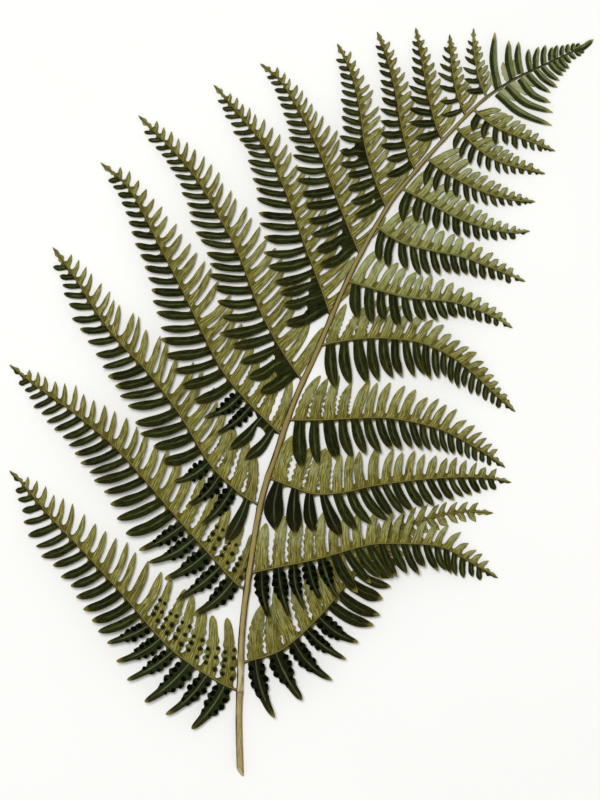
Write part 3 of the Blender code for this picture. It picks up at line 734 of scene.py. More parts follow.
# Draws a rod's end in to a small middle, and sinks it a little where it is a cut
def capRod(clay, ring, index, slot, sink=(0, 0)):
    numbers, middle = [index], ring[:-1].mean(0)
    for share in rodForm["capSteps"]:
        inner = middle + (ring - middle) * share
        inner[:, :2] += np.array(sink) * (1 - share)
        inner[:, 2] = np.maximum(inner[:, 2], rodForm["lowest"])
        number = np.zeros(len(inner), int)
        number[:-1] = clay.addPoints(inner[:-1])
        number[-1] = number[0]
        numbers.append(number)
    marks = markCorners((len(numbers), len(ring)), share=np.linspace(1, 0, len(numbers))[:, None])
    clay.addGrid(np.array(numbers), marks, slot)
    fillRing(clay, numbers[-1][:-1], slot)


# The rib that runs along a pinna, half sunk between its two rows of leaflets
costa = {
    "root": 1.25, "foot": 0.9, "tip": 0.46, "flare": 8, "taper": 0.8, "until": 0.995,
    "rootFit": (0.9, 0.25), "sides": 10, "step": 4.0, "fewest": 12, "rise": 0.12, "flatten": 0.85,
}


def addCosta(clay, spec, pinna, slot):
    length = pinna["length"]
    d = np.linspace(0, length * costa["until"], max(costa["fewest"], int(length / costa["step"])))
    flare = (costa["root"] - costa["foot"]) * (1 - smooth(d / costa["flare"]))
    radii = costa["foot"] + (costa["tip"] - costa["foot"]) * (d / length) ** costa["taper"] + flare
    share, more = costa["rootFit"]
    radii = np.minimum(radii, share * pinna["rootRadius"] + more)
    heights = pinna["ribHeight"](d) + costa["rise"] * radii
    rows, index = addRod(
        clay, pinna["rib"], d, radii, heights, slot, costa["sides"], flatten=costa["flatten"],
        lowSide=-spec["side"], grey=spec["grey"])
    capRod(clay, rows[0], index[0], slot)
    capRod(clay, rows[-1], index[-1], slot)


# Spore clusters: small rough domes in two rows near the edges of the fertile leaflets
spores = {
    "radius": {"lower": (1.3, 2.2, 2.5), "upper": (1.5, 2.1, 2.4)}, "from": 0.1,
    "until": {"lower": 0.64, "upper": 0.54}, "apart": {"lower": 5.0, "upper": 6.4},
    "out": {"lower": 0.72, "upper": 0.64}, "fromJitter": 0.03, "outJitter": 0.1, "apartSpread": (0.9, 1.12),
    "smaller": 0.35, "smallerFrom": 0.3, "smallerSpan": 0.3, "roughness": 0.09, "lowest": 0.03,
    "height": 0.7, "sides": 8, "shape": ((1.0, -0.35), (1.0, 0.3), (0.82, 0.75), (0.42, 1.0)),
}


def addSpore(clay, middle, radius, side):
    angle = np.arange(spores["sides"]) / spores["sides"] * 2 * np.pi + dice.uniform(0, 6)
    wobble = 1 + dice.uniform(-spores["roughness"], spores["roughness"], spores["sides"])
    rings = []
    for spread, rise in spores["shape"]:
        x = np.cos(angle) * radius * spread * wobble
        y = np.sin(angle) * radius * spread * wobble
        rings.append(middle + np.column_stack([x, y, np.full_like(x, rise * spores["height"])]))
    rings = np.array(rings)
    rings[..., 2] = np.maximum(rings[..., 2], spores["lowest"])
    numbers = clay.addPoints(rings).reshape(rings.shape[:2])
    index = np.column_stack([numbers, numbers[:, 0]])
    clay.addGrid(index, markCorners(index.shape, grey=side == "upper"), 0)
    fillRing(clay, numbers[0], 0)
    fillRing(clay, numbers[-1], 0)


def addSpores(clay, one, side):
    b, grid = one["surface"]
    for across in (-1, 1):
        at = spores["from"] + dice.uniform(0, spores["fromJitter"])
        while at < spores["until"][side]:
            v = across * (spores["out"][side] + dice.uniform(-spores["outJitter"], spores["outJitter"]))
            middle = np.array([
                np.interp(at, b, [np.interp(v, acrossSteps, row[:, k]) for row in grid]) for k in range(3)])
            room = 1 - spores["smaller"] * smooth((at - spores["smallerFrom"]) / spores["smallerSpan"])
            addSpore(clay, middle, dice.triangular(*spores["radius"][side]) * room, side)
            apart = spores["apart"][side] / (one["length"] - one["wing"])
            at += apart * dice.uniform(*spores["apartSpread"])


# The frond's tip, where the leaflets stand straight on the midrib. Each has its foot and its end, and
# the first three on the right a middle that they bow through. Each has painted shade, dark, on the half
# that faces the stalk's foot. Frills are short pale lobes below their feet
frondTip = {
    "left": [
        [(149.2, 232.5), (146.2, 276)], [(159.8, 240.8), (156.8, 270)], [(165.8, 245.2), (164.2, 269.2)],
        [(173.2, 247.5), (171.8, 264)], [(177, 249), (179.2, 265.5)], [(183, 252), (184.5, 267)],
        [(188.2, 255), (189.8, 265.5)], [(192, 256.5), (193.5, 267)], [(196.5, 258.8), (198, 267)],
        [(201, 261), (201.8, 267.8)], [(204.8, 262.5), (206.2, 268.5)], [(208.5, 264), (210, 268.5)]],
    "right": [
        [(147.8, 230.2), (165, 216), (189, 206.2)], [(155.2, 236.2), (168.8, 223.5), (189.8, 216)],
        [(165, 241.5), (174.8, 229.5), (188.2, 223.5)], [(171, 245.2), (188.2, 231)],
        [(177, 248.2), (193.5, 234.8)], [(182.2, 250.5), (195, 240)], [(187.5, 253.5), (198, 243.8)],
        [(191.2, 255), (200.2, 246.8)], [(195, 257.2), (202.5, 249)], [(198.8, 258.8), (204, 253.5)],
        [(202.5, 261), (207.8, 256.5)], [(207, 262.5), (211.5, 258.8)], [(210, 264), (213.8, 261)],
        [(206.5, 262.6), (213.4, 265.4), (220.6, 271.2)]],
    "leftFrills": [[(149, 233), (143.5, 247)], [(156.5, 240), (152.5, 254)], [(163, 244.5), (160.5, 256)]],
    "rightFrills": [[(151, 233.5), (166, 225)], [(158.5, 239), (175, 229.5)], [(167, 243), (179, 236)]],
    "half": (1.5, 0.045), "mostHalf": 2.9, "foot": 0.1, "frillFoot": -0.5, "droop": 1.4,
    "shape": (0.9, 1.0, 1.04, 1.04, 1.0, 0.94, 0.82, 0.6, 0.08),
    "bow": 0.06, "slope": {"left": 0.084, "right": 0.07}, "rows": 15, "rowPower": 0.85, "waviness": 0.04,
    "frillWidth": (0.85, 0.3), "frillTurns": 3.5, "cup": 0.6, "flatEnd": 0.9,
}


def addTipLobe(clay, places, hand, frill):
    turn = 1 if hand == "left" else -1
    if len(places) == 2:
        foot, end = np.array(places)
        places = [foot, (foot + end) / 2 + turned(end - foot, -90 * turn) * -frondTip["bow"], end]
    course = smoothCourse(places)
    length = course["length"]
    s = np.linspace(0, 1, frondTip["rows"]) ** frondTip["rowPower"]
    centre, way = placeOn(course, s * length), headingOn(course, s * length)
    darkSide = turned(way, 90 * turn)
    widest = min(frondTip["half"][0] + frondTip["half"][1] * length, frondTip["mostHalf"])
    seed = dice.uniform()
    wave = 1 + frondTip["waviness"] * np.sin(2 * np.pi * (2 * s + seed))
    half = widest * profile(frondTip["shape"], s) * wave
    if frill:
        least, more = frondTip["frillWidth"]
        half = half * (least + more * np.abs(np.sin(frondTip["frillTurns"] * np.pi * s)))
    across = half[:, None] * acrossSteps[None]
    flat = centre[:, None] - darkSide[:, None] * across[..., None]
    near = nearestOn(rachis["course"], places[0])
    foot = float(rachisHeight(near)) + frondTip["frillFoot" if frill else "foot"]
    ridge = leafForm["ridge"] * np.exp(-(acrossSteps / leafForm["ridgeWidth"]) ** 2)
    curl = leafForm["cup"] * acrossSteps**2 * frondTip["cup"]
    height = foot + frondTip["slope"][hand] * s[:, None] * length - frondTip["droop"] * s[:, None] ** 2
    height = height + (ridge + curl)[None] * np.sqrt(1 - s * frondTip["flatEnd"])[:, None]
    grid = np.concatenate([flat, np.maximum(height, leafForm["lowest"])[..., None]], -1)
    index = clay.addPoints(grid).reshape(grid.shape[:2])
    marks = markCorners(
        grid.shape[:2], share=s[:, None], along=s[:, None] * length, across=across,
        inside=half[:, None] * (1 - np.abs(acrossSteps))[None], seed=seed, grey=frill)
    clay.addGrid(index, marks, 0)


# Colours as they look on a screen, from 0 to 255, turned into light values
def paint(red, green, blue):
    values = np.array([red, green, blue]) / 255
    light = np.where(values < 0.04045, values / 12.92, ((values + 0.055) / 1.055) ** 2.4)
    return (*light.tolist(), 1.0)


# Makes and joins shader nodes. A value that isn't a socket is set on the socket it would go to
class Wiring:
    def __init__(self, tree):
        self.tree = tree

    def add(self, kind, **settings):
        node = self.tree.nodes.new(kind)
        for key, value in settings.items():
            setattr(node, key, value)
        return node

    def plug(self, value, socket):
        if isinstance(value, bpy.types.NodeSocket):
            self.tree.links.new(value, socket)
        else:
            socket.default_value = value

    def math(self, operation, *values):
        node = self.add("ShaderNodeMath", operation=operation)
        for value, socket in zip(values, node.inputs):
            self.plug(value, socket)
        return node.outputs[0]

    # Goes from 0 at low to 1 at high, also where low is the larger
    def rise(self, value, low, high):
        node = self.add("ShaderNodeMapRange", interpolation_type="SMOOTHSTEP")
        for one, socket in zip((value, low, high), node.inputs):
            self.plug(one, socket)
        return node.outputs[0]

    def all(self, *masks):
        result = masks[0]
        for mask in masks[1:]:
            result = self.math("MULTIPLY", result, mask)
        return result

    def mix(self, factor, first, second):
        node = self.add("ShaderNodeMix", data_type="RGBA")
        for value, socket in zip((factor, first, second), (node.inputs[0], node.inputs[6], node.inputs[7])):
            self.plug(value, socket)
        return node.outputs[2]

    # Lays a tone over a colour where the mask is 1
    def coat(self, color, mask, tone, strength=1.0):
        factor = self.math("MULTIPLY", mask, strength) if strength < 1 else mask
        return self.mix(factor, color, paint(*tone))

    def between(self, mask, first, second):
        return self.mix(mask, paint(*first), paint(*second))

    # 1 between full and fade, and 0 before start and after end
    def band(self, value, start, full, fade, end):
        return self.math("MULTIPLY", self.rise(value, start, full), self.rise(value, end, fade))

    def point(self, x, y, z):
        node = self.add("ShaderNodeCombineXYZ")
        for value, socket in zip((x, y, z), node.inputs):
            self.plug(value, socket)
        return node.outputs[0]

    def noise(self, place, scale, detail=2.0, rough=0.5):
        node = self.add("ShaderNodeTexNoise")
        self.plug(place, node.inputs["Vector"])
        self.plug(scale, node.inputs["Scale"])
        self.plug(detail, node.inputs["Detail"])
        self.plug(rough, node.inputs["Roughness"])
        return node.outputs[0]

    # Fibres along a rod, drawn out by their scales along and across it
    def rodFibre(self, along, across, long, fine, detail):
        x, y = self.math("MULTIPLY", along, long), self.math("MULTIPLY", across, fine)
        return self.noise(self.point(x, y, 0.0), 1.0, detail)

    def mark(self, mapName):
        uv = self.add("ShaderNodeUVMap", uv_map=mapName)
        split = self.add("ShaderNodeSeparateXYZ")
        self.plug(uv.outputs[0], split.inputs[0])
        return split.outputs[0], split.outputs[1]

    def objectPlace(self):
        return self.add("ShaderNodeTexCoord").outputs["Object"]

    def group(self, name, **values):
        node = self.add("ShaderNodeGroup", node_tree=bpy.data.node_groups[name])
        for key, value in values.items():
            self.plug(value, node.inputs[key])
        return node.outputs[0]


def makeGroup(name, inputs, output, fill):
    tree = bpy.data.node_groups.new(name, "ShaderNodeTree")
    for key in inputs:
        tree.interface.new_socket(key, in_out="INPUT", socket_type="NodeSocketFloat")
    tree.interface.new_socket(output, in_out="OUTPUT", socket_type="NodeSocketFloat")
    wires = Wiring(tree)
    source, target = wires.add("NodeGroupInput"), wires.add("NodeGroupOutput")
    wires.plug(fill(wires, {key: source.outputs[key] for key in inputs}), target.inputs[0])


# Fibres that run along a leaflet and differ from one leaflet to the next
def fillStreaks(wires, given):
    along = wires.math("MULTIPLY", given["along"], given["stretch"])
    across = wires.math("MULTIPLY", given["across"], given["fine"])
    shift = wires.math("MULTIPLY", given["seed"], 90.0)
    return wires.noise(wires.point(along, across, shift), 1.0, 3.0, 0.6)


# Side veins that leave the midrib at a slant, as ridges
def fillVeins(wires, given):
    across = wires.math("ABSOLUTE", given["across"])
    slant = wires.math("SUBTRACT", given["along"], wires.math("MULTIPLY", across, 0.9))
    wave = wires.math("SINE", wires.math("MULTIPLY", slant, given["turns"]))
    return wires.math("MULTIPLY_ADD", wave, 0.5, 0.5)


# Soft blotches, placed in mm on the leaflet
def fillBlotches(wires, given):
    shift = wires.math("MULTIPLY", given["seed"], 70.0)
    place = wires.point(given["along"], given["across"], shift)
    return wires.rise(wires.noise(place, given["scale"], 2.0, 0.55), given["low"], given["high"])


def makeGroups():
    makeGroup("leafStreaks", ("along", "across", "seed", "stretch", "fine"), "streak", fillStreaks)
    makeGroup("sideVeins", ("along", "across", "turns"), "height", fillVeins)
    makeGroup("blotches", ("along", "across", "seed", "scale", "low", "high"), "mask", fillBlotches)


def startMaterial(name, roughness, specular):
    material = bpy.data.materials.new(name)
    material.use_nodes = True
    tree = material.node_tree
    tree.nodes.clear()
    wires = Wiring(tree)
    shader, out = wires.add("ShaderNodeBsdfPrincipled"), wires.add("ShaderNodeOutputMaterial")
    tree.links.new(shader.outputs[0], out.inputs["Surface"])
    shader.inputs["Roughness"].default_value = roughness
    shader.inputs["Specular IOR Level"].default_value = specular
    return material, wires, shader


def addBump(wires, shader, height, distance, strength=0.7):
    bump = wires.add("ShaderNodeBump")
    bump.inputs["Strength"].default_value = strength
    bump.inputs["Distance"].default_value = distance * mm
    wires.plug(height, bump.inputs["Height"])
    wires.plug(bump.outputs["Normal"], shader.inputs["Normal"])


# The stalk-facing leaflets: green-black, which is painted shade over the olive leaf, with a paler streak
# down the middle, and olive where they thin out, at the rim, at the tip and in the wing beside the rib
darkLeaf = {
    "deep": (3, 4, 0), "green": (44, 49, 17), "middle": (74, 83, 44), "vein": (108, 118, 78),
    "rim": (88, 80, 28), "tip": (114, 107, 45), "wing": (114, 106, 44), "brown": (54, 46, 14),
    "fertile": (40, 46, 22), "black": (14, 17, 6),
}


def makeDarkLeaf():
    material, wires, shader = startMaterial("paintedShadeLeaf", 0.8, 0.04)
    share, fertile = wires.mark("leafPlace")
    along, across = wires.mark("leafMm")
    inside, seed = wires.mark("leafEdge")
    grey, _ = wires.mark("leafTint")
    streak = wires.group("leafStreaks", along=along, across=across, seed=seed, stretch=0.14, fine=1.0)
    fibre = wires.group("leafStreaks", along=along, across=across, seed=seed, stretch=0.22, fine=2.4)
    # Painted shade: the green-black ground of these leaflets
    color = wires.between(wires.rise(fibre, 0.34, 0.62), darkLeaf["deep"], darkLeaf["green"])
    # Deeper painted shade: black streaks on some leaflets
    deeperPaintedShade = wires.all(wires.rise(seed, 0.6, 0.1), wires.rise(streak, 0.62, 0.4))
    color = wires.coat(color, deeperPaintedShade, darkLeaf["black"], 0.75)
    color = wires.coat(color, fertile, darkLeaf["black"], 0.8)
    dotted = wires.all(fertile, wires.rise(fibre, 0.3, 0.6), wires.rise(grey, 0.36, 0.14))
    color = wires.coat(color, dotted, darkLeaf["fertile"])
    offMiddle = wires.math("ABSOLUTE", wires.math("SUBTRACT", across, 0.2))
    middle = wires.all(
        wires.rise(offMiddle, 1.25, 0.1), wires.rise(share, 0.08, 0.3), wires.rise(streak, 0.36, 0.6),
        wires.math("MULTIPLY_ADD", seed, 0.8, 0.2))
    color = wires.coat(color, middle, darkLeaf["middle"])
    # The midvein's paler line with painted sheen on it, strongest on fertile leaflets of the less grey
    # pinnae
    midveinAndSheen = wires.all(
        wires.rise(wires.math("ABSOLUTE", across), 0.5, 0.2), wires.rise(share, 0.8, 0.55),
        wires.math("MULTIPLY_ADD", fertile, wires.math("MULTIPLY_ADD", grey, -1.1, 0.6), 0.12))
    color = wires.coat(color, midveinAndSheen, darkLeaf["vein"])
    outer = wires.all(wires.rise(share, 0.5, 0.85), wires.rise(streak, 0.42, 0.6))
    color = wires.coat(color, outer, darkLeaf["brown"], 0.5)
    ragged = wires.math("MULTIPLY_ADD", fibre, 0.6, wires.math("ADD", inside, -0.3))
    color = wires.coat(color, wires.rise(ragged, 0.42, 0.1), darkLeaf["rim"], 0.85)
    end = wires.math("MULTIPLY_ADD", fibre, 0.2, wires.math("MULTIPLY_ADD", seed, -0.08, share))
    color = wires.coat(color, wires.rise(end, 0.94, 1.05), darkLeaf["tip"])
    color = wires.coat(color, wires.rise(inside, 0.05, -0.3), darkLeaf["wing"])
    wires.plug(color, shader.inputs["Base Color"])
    veins = wires.group("sideVeins", along=along, across=across, turns=5.2)
    addBump(wires, shader, wires.math("ADD", veins, wires.math("MULTIPLY", fibre, 2.0)), 0.1)
    return material


# The tip-facing leaflets: olive, with brown fibres near their feet and grey-green patches further out
lightLeaf = {
    "bright": (206, 199, 146), "dark": (92, 88, 30), "olive": (138, 133, 62), "sage": (144, 150, 90),
    "brown": (66, 56, 14), "rim": (76, 70, 22), "grey": (160, 168, 124), "vein": (158, 151, 88),
    "wing": (122, 115, 46), "tip": (146, 138, 72), "shade": (80, 74, 24),
}


def makeLightLeaf():
    material, wires, shader = startMaterial("oliveLeaf", 0.8, 0.04)
    share, _ = wires.mark("leafPlace")
    along, across = wires.mark("leafMm")
    inside, seed = wires.mark("leafEdge")
    grey, _ = wires.mark("leafTint")
    streak = wires.group("leafStreaks", along=along, across=across, seed=seed, stretch=0.09, fine=0.9)
    fibre = wires.group("leafStreaks", along=along, across=across, seed=seed, stretch=0.14, fine=2.0)
    patch = wires.group(
        "blotches", along=along, across=across, seed=seed, scale=0.16, low=0.40, high=0.58)
    color = wires.between(wires.rise(fibre, 0.36, 0.64), lightLeaf["dark"], lightLeaf["olive"])
    color = wires.coat(color, wires.rise(grey, 0.4, 0.95), lightLeaf["sage"], 0.7)
    glint = wires.all(wires.rise(fibre, 0.53, 0.67), wires.rise(streak, 0.4, 0.56))
    color = wires.coat(color, glint, lightLeaf["bright"], 0.85)
    shade = wires.math("MULTIPLY", wires.rise(seed, 0.55, 1.0), 0.45)
    color = wires.coat(color, shade, lightLeaf["shade"])
    onPatch = wires.all(patch, wires.math("MULTIPLY", grey, 0.9), wires.rise(share, 0.2, 0.45))
    color = wires.coat(color, onPatch, lightLeaf["grey"])
    offMiddle = wires.math("ABSOLUTE", across)
    flank = wires.all(
        wires.rise(streak, 0.5, 0.62), wires.rise(share, 1.0, 0.3), wires.rise(offMiddle, 0.15, 0.5))
    color = wires.coat(color, flank, lightLeaf["brown"], 0.85)
    line = wires.all(
        wires.rise(wires.math("ABSOLUTE", wires.math("SUBTRACT", across, 0.35)), 0.4, 0.16),
        wires.rise(share, 0.72, 0.35), wires.rise(fibre, 0.62, 0.45))
    color = wires.coat(color, line, lightLeaf["brown"], 0.8)
    vein = wires.all(wires.rise(offMiddle, 0.4, 0.1), wires.rise(share, 0.98, 0.7))
    color = wires.coat(color, vein, lightLeaf["vein"], 0.5)
    ragged = wires.math("MULTIPLY_ADD", fibre, 0.7, wires.math("ADD", inside, -0.35))
    rim = wires.all(wires.rise(ragged, 0.55, 0.15), wires.rise(inside, -0.5, -0.1))
    color = wires.coat(color, rim, lightLeaf["rim"], 0.8)
    color = wires.coat(color, wires.rise(share, 0.84, 0.97), lightLeaf["tip"], 0.55)
    wing = wires.math("MULTIPLY", wires.rise(inside, 0.05, -0.6), 0.35)
    color = wires.coat(color, wing, lightLeaf["wing"])
    wires.plug(color, shader.inputs["Base Color"])
    veins = wires.group("sideVeins", along=along, across=across, turns=4.4)
    addBump(wires, shader, wires.math("ADD", veins, wires.math("MULTIPLY", fibre, 2.0)), 0.1)
    return material


# The leaflets of the frond's tip: one half green-black as painted shade, the other grey-green, with olive
# ends
tipLeaf = {
    "dark": (24, 29, 10), "green": (58, 66, 34), "pale": (118, 124, 78), "moss": (74, 80, 44),
    "end": (146, 142, 80), "rim": (104, 102, 52), "vein": (24, 28, 10), "soft": (128, 132, 88),
    "paper": (166, 168, 128),
}


def makeTipLeaf():
    material, wires, shader = startMaterial("tipLeaf", 0.8, 0.04)
    share, _ = wires.mark("leafPlace")
    along, across = wires.mark("leafMm")
    inside, seed = wires.mark("leafEdge")
    streak = wires.group("leafStreaks", along=along, across=across, seed=seed, stretch=0.14, fine=1.2)
    fibre = wires.group("leafStreaks", along=along, across=across, seed=seed, stretch=0.2, fine=2.6)
    frill, _ = wires.mark("leafTint")
    # The half that faces the stalk's foot is painted shade
    lower = wires.between(wires.rise(fibre, 0.4, 0.66), tipLeaf["dark"], tipLeaf["green"])
    upper = wires.between(wires.rise(fibre, 0.36, 0.62), tipLeaf["moss"], tipLeaf["pale"])
    color = wires.mix(wires.rise(wires.math("MULTIPLY_ADD", streak, 0.8, across), 0.1, 0.55), lower, upper)
    line = wires.all(wires.rise(wires.math("ABSOLUTE", across), 0.35, 0.12), wires.rise(share, 0.9, 0.6))
    color = wires.coat(color, line, tipLeaf["vein"], 0.7)
    pale = wires.between(wires.rise(fibre, 0.36, 0.62), tipLeaf["soft"], tipLeaf["paper"])
    color = wires.mix(frill, color, pale)
    color = wires.coat(color, wires.rise(inside, 0.45, 0.1), tipLeaf["rim"], 0.6)
    color = wires.coat(color, wires.rise(share, 0.82, 0.98), tipLeaf["end"])
    wires.plug(color, shader.inputs["Base Color"])
    addBump(wires, shader, fibre, 0.2)
    return material


# The pinna ribs: olive, with painted shade as a dark line where the shaded leaflets begin
ribColors = {
    "olive": (122, 112, 50), "straw": (150, 140, 78), "dark": (32, 28, 8), "edge": (74, 62, 22),
    "green": (112, 114, 62),
}


def makeRib():
    material, wires, shader = startMaterial("ribOlive", 0.65, 0.15)
    along, low = wires.mark("leafMm")
    fibre = wires.rodFibre(along, low, 0.12, 5.0, 2.0)
    color = wires.between(wires.rise(fibre, 0.35, 0.65), ribColors["olive"], ribColors["straw"])
    tint, _ = wires.mark("leafTint")
    color = wires.coat(color, wires.rise(tint, 0.35, 0.85), ribColors["green"], 0.8)
    strong = wires.math("MULTIPLY_ADD", wires.rise(tint, 0.45, 0.75), -0.6, 0.9)
    edge = wires.math("MULTIPLY", wires.rise(low, -0.35, -0.75), strong)
    color = wires.coat(color, edge, ribColors["edge"])
    # Painted shade: the rib's side towards the shaded leaflets turns dark
    line = wires.rise(wires.math("MULTIPLY_ADD", fibre, 0.5, low), 0.08, 0.4)
    color = wires.coat(color, wires.math("MULTIPLY", line, strong), ribColors["dark"])
    wires.plug(color, shader.inputs["Base Color"])
    addBump(wires, shader, fibre, 0.15)
    return material


# The stalk and midrib: straw with a dark ragged left edge, turning olive towards the tip
stalkColors = {
    "straw": (170, 154, 102), "brown": (136, 116, 66), "olive": (128, 114, 58), "dark": (46, 38, 20),
    "edge": (86, 64, 30), "green": (78, 84, 46), "line": (28, 30, 16), "pale": (196, 184, 148),
    "joint": (70, 54, 28), "cut": (206, 192, 150),
}
stalkPlaces = {"joint": (58.2, 59.2, 60.2, 61.2), "bark": (58.0, 62.0, 78.0, 84.0)}  # mm up the stalk


def makeStalk():
    material, wires, shader = startMaterial("stalkStraw", 0.65, 0.15)
    share, _ = wires.mark("leafPlace")
    along, right = wires.mark("leafMm")
    fibre = wires.rodFibre(along, right, 0.1, 4.0, 4.0)
    coarse = wires.noise(wires.point(wires.math("MULTIPLY", along, 0.06), right, 4.0), 1.0)
    color = wires.between(wires.rise(fibre, 0.4, 0.68), stalkColors["straw"], stalkColors["brown"])
    green = wires.math("MULTIPLY", wires.rise(share, 0.08, 0.4), 0.7)
    color = wires.coat(color, green, stalkColors["olive"])
    rightEdge = wires.math("MULTIPLY_ADD", coarse, 0.7, right)
    color = wires.coat(color, wires.rise(rightEdge, 0.7, 1.15), stalkColors["olive"], 0.7)
    edge = wires.all(wires.rise(rightEdge, 0.95, 1.2), wires.rise(share, 0.1, 0.2))
    color = wires.coat(color, edge, stalkColors["edge"])
    bark = wires.all(wires.band(along, *stalkPlaces["bark"]), wires.rise(coarse, 0.4, 0.5))
    color = wires.coat(color, bark, stalkColors["pale"], 0.8)
    joint = wires.band(along, *stalkPlaces["joint"])
    color = wires.coat(color, joint, stalkColors["joint"], 0.5)
    leftEdge = wires.math("MULTIPLY_ADD", coarse, -0.9, right)
    color = wires.coat(color, wires.rise(leftEdge, -0.98, -1.25), stalkColors["dark"])
    color = wires.coat(color, wires.rise(share, 0.85, 0.93), stalkColors["green"], 0.8)
    line = wires.all(wires.rise(share, 0.84, 0.88), wires.rise(right, 0.45, 0.1))
    color = wires.coat(color, line, stalkColors["line"])
    wires.plug(color, shader.inputs["Base Color"])
    addBump(wires, shader, wires.math("ADD", fibre, coarse), 0.4)
    return material


def makeCut():
    material, wires, shader = startMaterial("cutFace", 0.75, 0.2)
    share, _ = wires.mark("leafPlace")
    grain = wires.noise(wires.objectPlace(), 1800.0, 3.0)
    color = wires.between(wires.rise(grain, 0.35, 0.65), stalkColors["cut"], stalkColors["straw"])
    color = wires.coat(color, wires.rise(share, 0.8, 0.97), stalkColors["brown"])
    wires.plug(color, shader.inputs["Base Color"])
    addBump(wires, shader, grain, 0.2)
    return material


# The spore clusters: black, and olive-black with a paler rim on the light leaflets
sporeColors = {"deep": (1, 2, 0), "black": (16, 17, 7), "olive": (34, 36, 14), "moss": (62, 62, 28)}


def makeSporeBlack():
    material, wires, shader = startMaterial("sporeBlack", 0.9, 0.02)
    grain = wires.noise(wires.objectPlace(), 2600.0, 3.0, 0.7)
    color = wires.between(wires.rise(grain, 0.4, 0.7), sporeColors["deep"], sporeColors["black"])
    soft = wires.between(wires.rise(grain, 0.35, 0.7), sporeColors["olive"], sporeColors["moss"])
    onLight, _ = wires.mark("leafTint")
    color = wires.mix(onLight, color, soft)
    wires.plug(color, shader.inputs["Base Color"])
    addBump(wires, shader, grain, 0.3)
    return material


floorTones = {"low": (0.9, 0.9, 0.885, 1), "high": (0.93, 0.93, 0.915, 1)}


def makeFloorPaint():
    material, wires, shader = startMaterial("paleFloor", 0.9, 0.0)
    grain = wires.noise(wires.objectPlace(), 6.0, 2.0)
    color = wires.mix(grain, floorTones["low"], floorTones["high"])
    wires.plug(color, shader.inputs["Base Color"])
    return material


makeGroups()
paints = {
    "dark": makeDarkLeaf(), "light": makeLightLeaf(), "tip": makeTipLeaf(), "rib": makeRib(),
    "stalk": makeStalk(), "cut": makeCut(), "spores": makeSporeBlack(), "floor": makeFloorPaint(),
}
print("materials made")


def place(piece, slot):
    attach(piece, "root")
    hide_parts("bracken_frond")


def makePinna(name, spec):
    pinna = pinnaFrame(spec)
    darkUntil = spec.get("darkUntil", 2)
    sheets, dots = Clay(), Clay()
    slots = {"lower": lambda share: 0 if share < darkUntil else 1, "upper": lambda share: 1}
    for side in ("lower", "upper"):
        sheet = Clay()
        made = addSide(sheet, spec, pinna, side, slots[side])
        sheet.thicken(leafForm["thickness"])
        sheets.absorb(sheet)
        for one in made:
            if one["fertile"]:
                addSpores(dots, one, side)
    addCosta(sheets, spec, pinna, 2)
    leaf = sheets.toObject("pinna_" + name, (paints["dark"], paints["light"], paints["rib"]), 40)
    place(leaf, "leaf")
    if dots.count:
        place(dots.toObject("spores_" + name, (paints["spores"],), 60), "spores")
    print("pinna", name, round(pinna["length"]), "mm,", len(leaf.data.polygons), "faces")


def makeFrondTip():
    lobes = Clay()
    for kind, frill in (("", False), ("Frills", True)):
        for hand in ("left", "right"):
            for places in frondTip[hand + kind]:
                lobe = Clay()
                addTipLobe(lobe, places, hand, frill)
                lobe.thicken(leafForm["thickness"])
                lobes.absorb(lobe)
    place(lobes.toObject("frond_tip", (paints["tip"],), 40), "leaf")
    print("frond tip made")


def makeStalkPiece():
    course, length = rachis["course"], rachis["course"]["length"]
    d = np.linspace(0, length * rachis["end"], int(length / rachis["step"]))
    radii = rachisRadius(d)
    for joint in [*(spec["rib"][0] for spec in pinnae.values()), rachis["tipFoot"]]:
        root = nearestOn(course, joint)
        radii = radii * (1 + rachis["knuckle"] * np.exp(-((d - root) / rachis["knuckleLength"]) ** 2))
    foot = np.exp(-d / rachis["cutLength"])
    clay = Clay()
    rows, index = addRod(
        clay, course, d, radii, rachisHeight(d), 0, rachis["sides"], ridges=rachis["ridges"],
        lean=foot * rachis["cutSlant"] * radii, tilt=foot * rachis["cutTilt"] * radii)
    up = headingOn(course, np.array(0.0))
    capRod(clay, rows[0], index[0], 1, sink=up * rachis["cutDepth"])
    capRod(clay, rows[-1], index[-1], 0)
    place(clay.toObject("stalk", (paints["stalk"], paints["cut"]), 50), "stalk")
    print("stalk made,", round(length), "mm")


makeStalkPiece()
for name, spec in pinnae.items():
    makePinna(name, spec)
makeFrondTip()


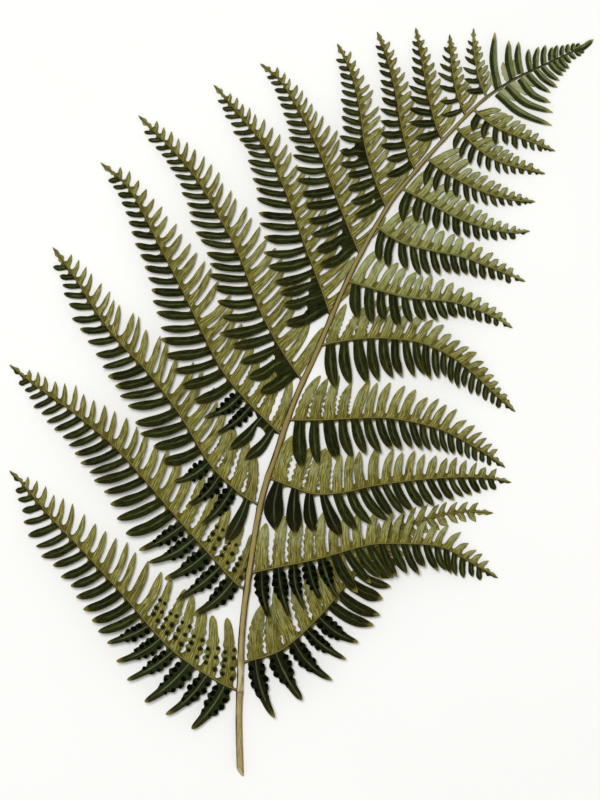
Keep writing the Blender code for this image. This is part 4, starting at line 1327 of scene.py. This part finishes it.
# A plain pale table, soft studio light and the camera straight above, as in the photograph
studio = {
    "floorSide": 6.0, "floorAt": -0.0004, "sky": 0.42, "skyTone": (1.0, 0.995, 0.98, 1),
    "lampSide": 0.7, "lampAt": (-0.3, 0.35, 3.5), "lampPower": 84.0,
}


def makeStudio():
    half = studio["floorSide"] / 2
    corners = [(-half, -half, 0), (half, -half, 0), (half, half, 0), (-half, half, 0)]
    mesh = bpy.data.meshes.new("floor")
    mesh.from_pydata(corners, [], [(0, 1, 2, 3)])
    mesh.materials.append(paints["floor"])
    floor = bpy.data.objects.new("floor", mesh)
    floor.location.z = studio["floorAt"]
    bpy.context.scene.collection.objects.link(floor)
    world = bpy.data.worlds.new("paleRoom")
    world.use_nodes = True
    sky = world.node_tree.nodes["Background"]
    sky.inputs["Color"].default_value = studio["skyTone"]
    sky.inputs["Strength"].default_value = studio["sky"]
    bpy.context.scene.world = world
    light = bpy.data.lights.new("softLamp", "AREA")
    light.size = studio["lampSide"]
    light.energy = studio["lampPower"]
    lamp = bpy.data.objects.new("softLamp", light)
    lamp.location = studio["lampAt"]
    x, y, z = studio["lampAt"]
    lamp.rotation_euler = (math.atan2(math.hypot(x, y), z), 0, math.atan2(x, -y))
    bpy.context.scene.collection.objects.link(lamp)


# A pixel of the photograph is 0.75 mm at the height of the leaves
view = {
    "mmPerPixel": 0.75, "imageHeight": 800, "sensor": 36.0, "height": 3000.0, "leafLevel": 8, "seesTo": 20,
}


def makeCamera():
    lens = bpy.data.cameras.new("camera")
    lens.sensor_fit = "VERTICAL"
    lens.sensor_height = view["sensor"]
    seen = view["imageHeight"] * view["mmPerPixel"]
    lens.lens = view["sensor"] * (view["height"] - view["leafLevel"]) / seen
    lens.clip_end = view["seesTo"]
    camera = bpy.data.objects.new("camera", lens)
    camera.location = (0, 0, view["height"] * mm)
    bpy.context.scene.collection.objects.link(camera)
    bpy.context.scene.camera = camera


makeStudio()
makeCamera()
bpy.context.scene.view_settings.view_transform = "Standard"
print("studio and camera made")
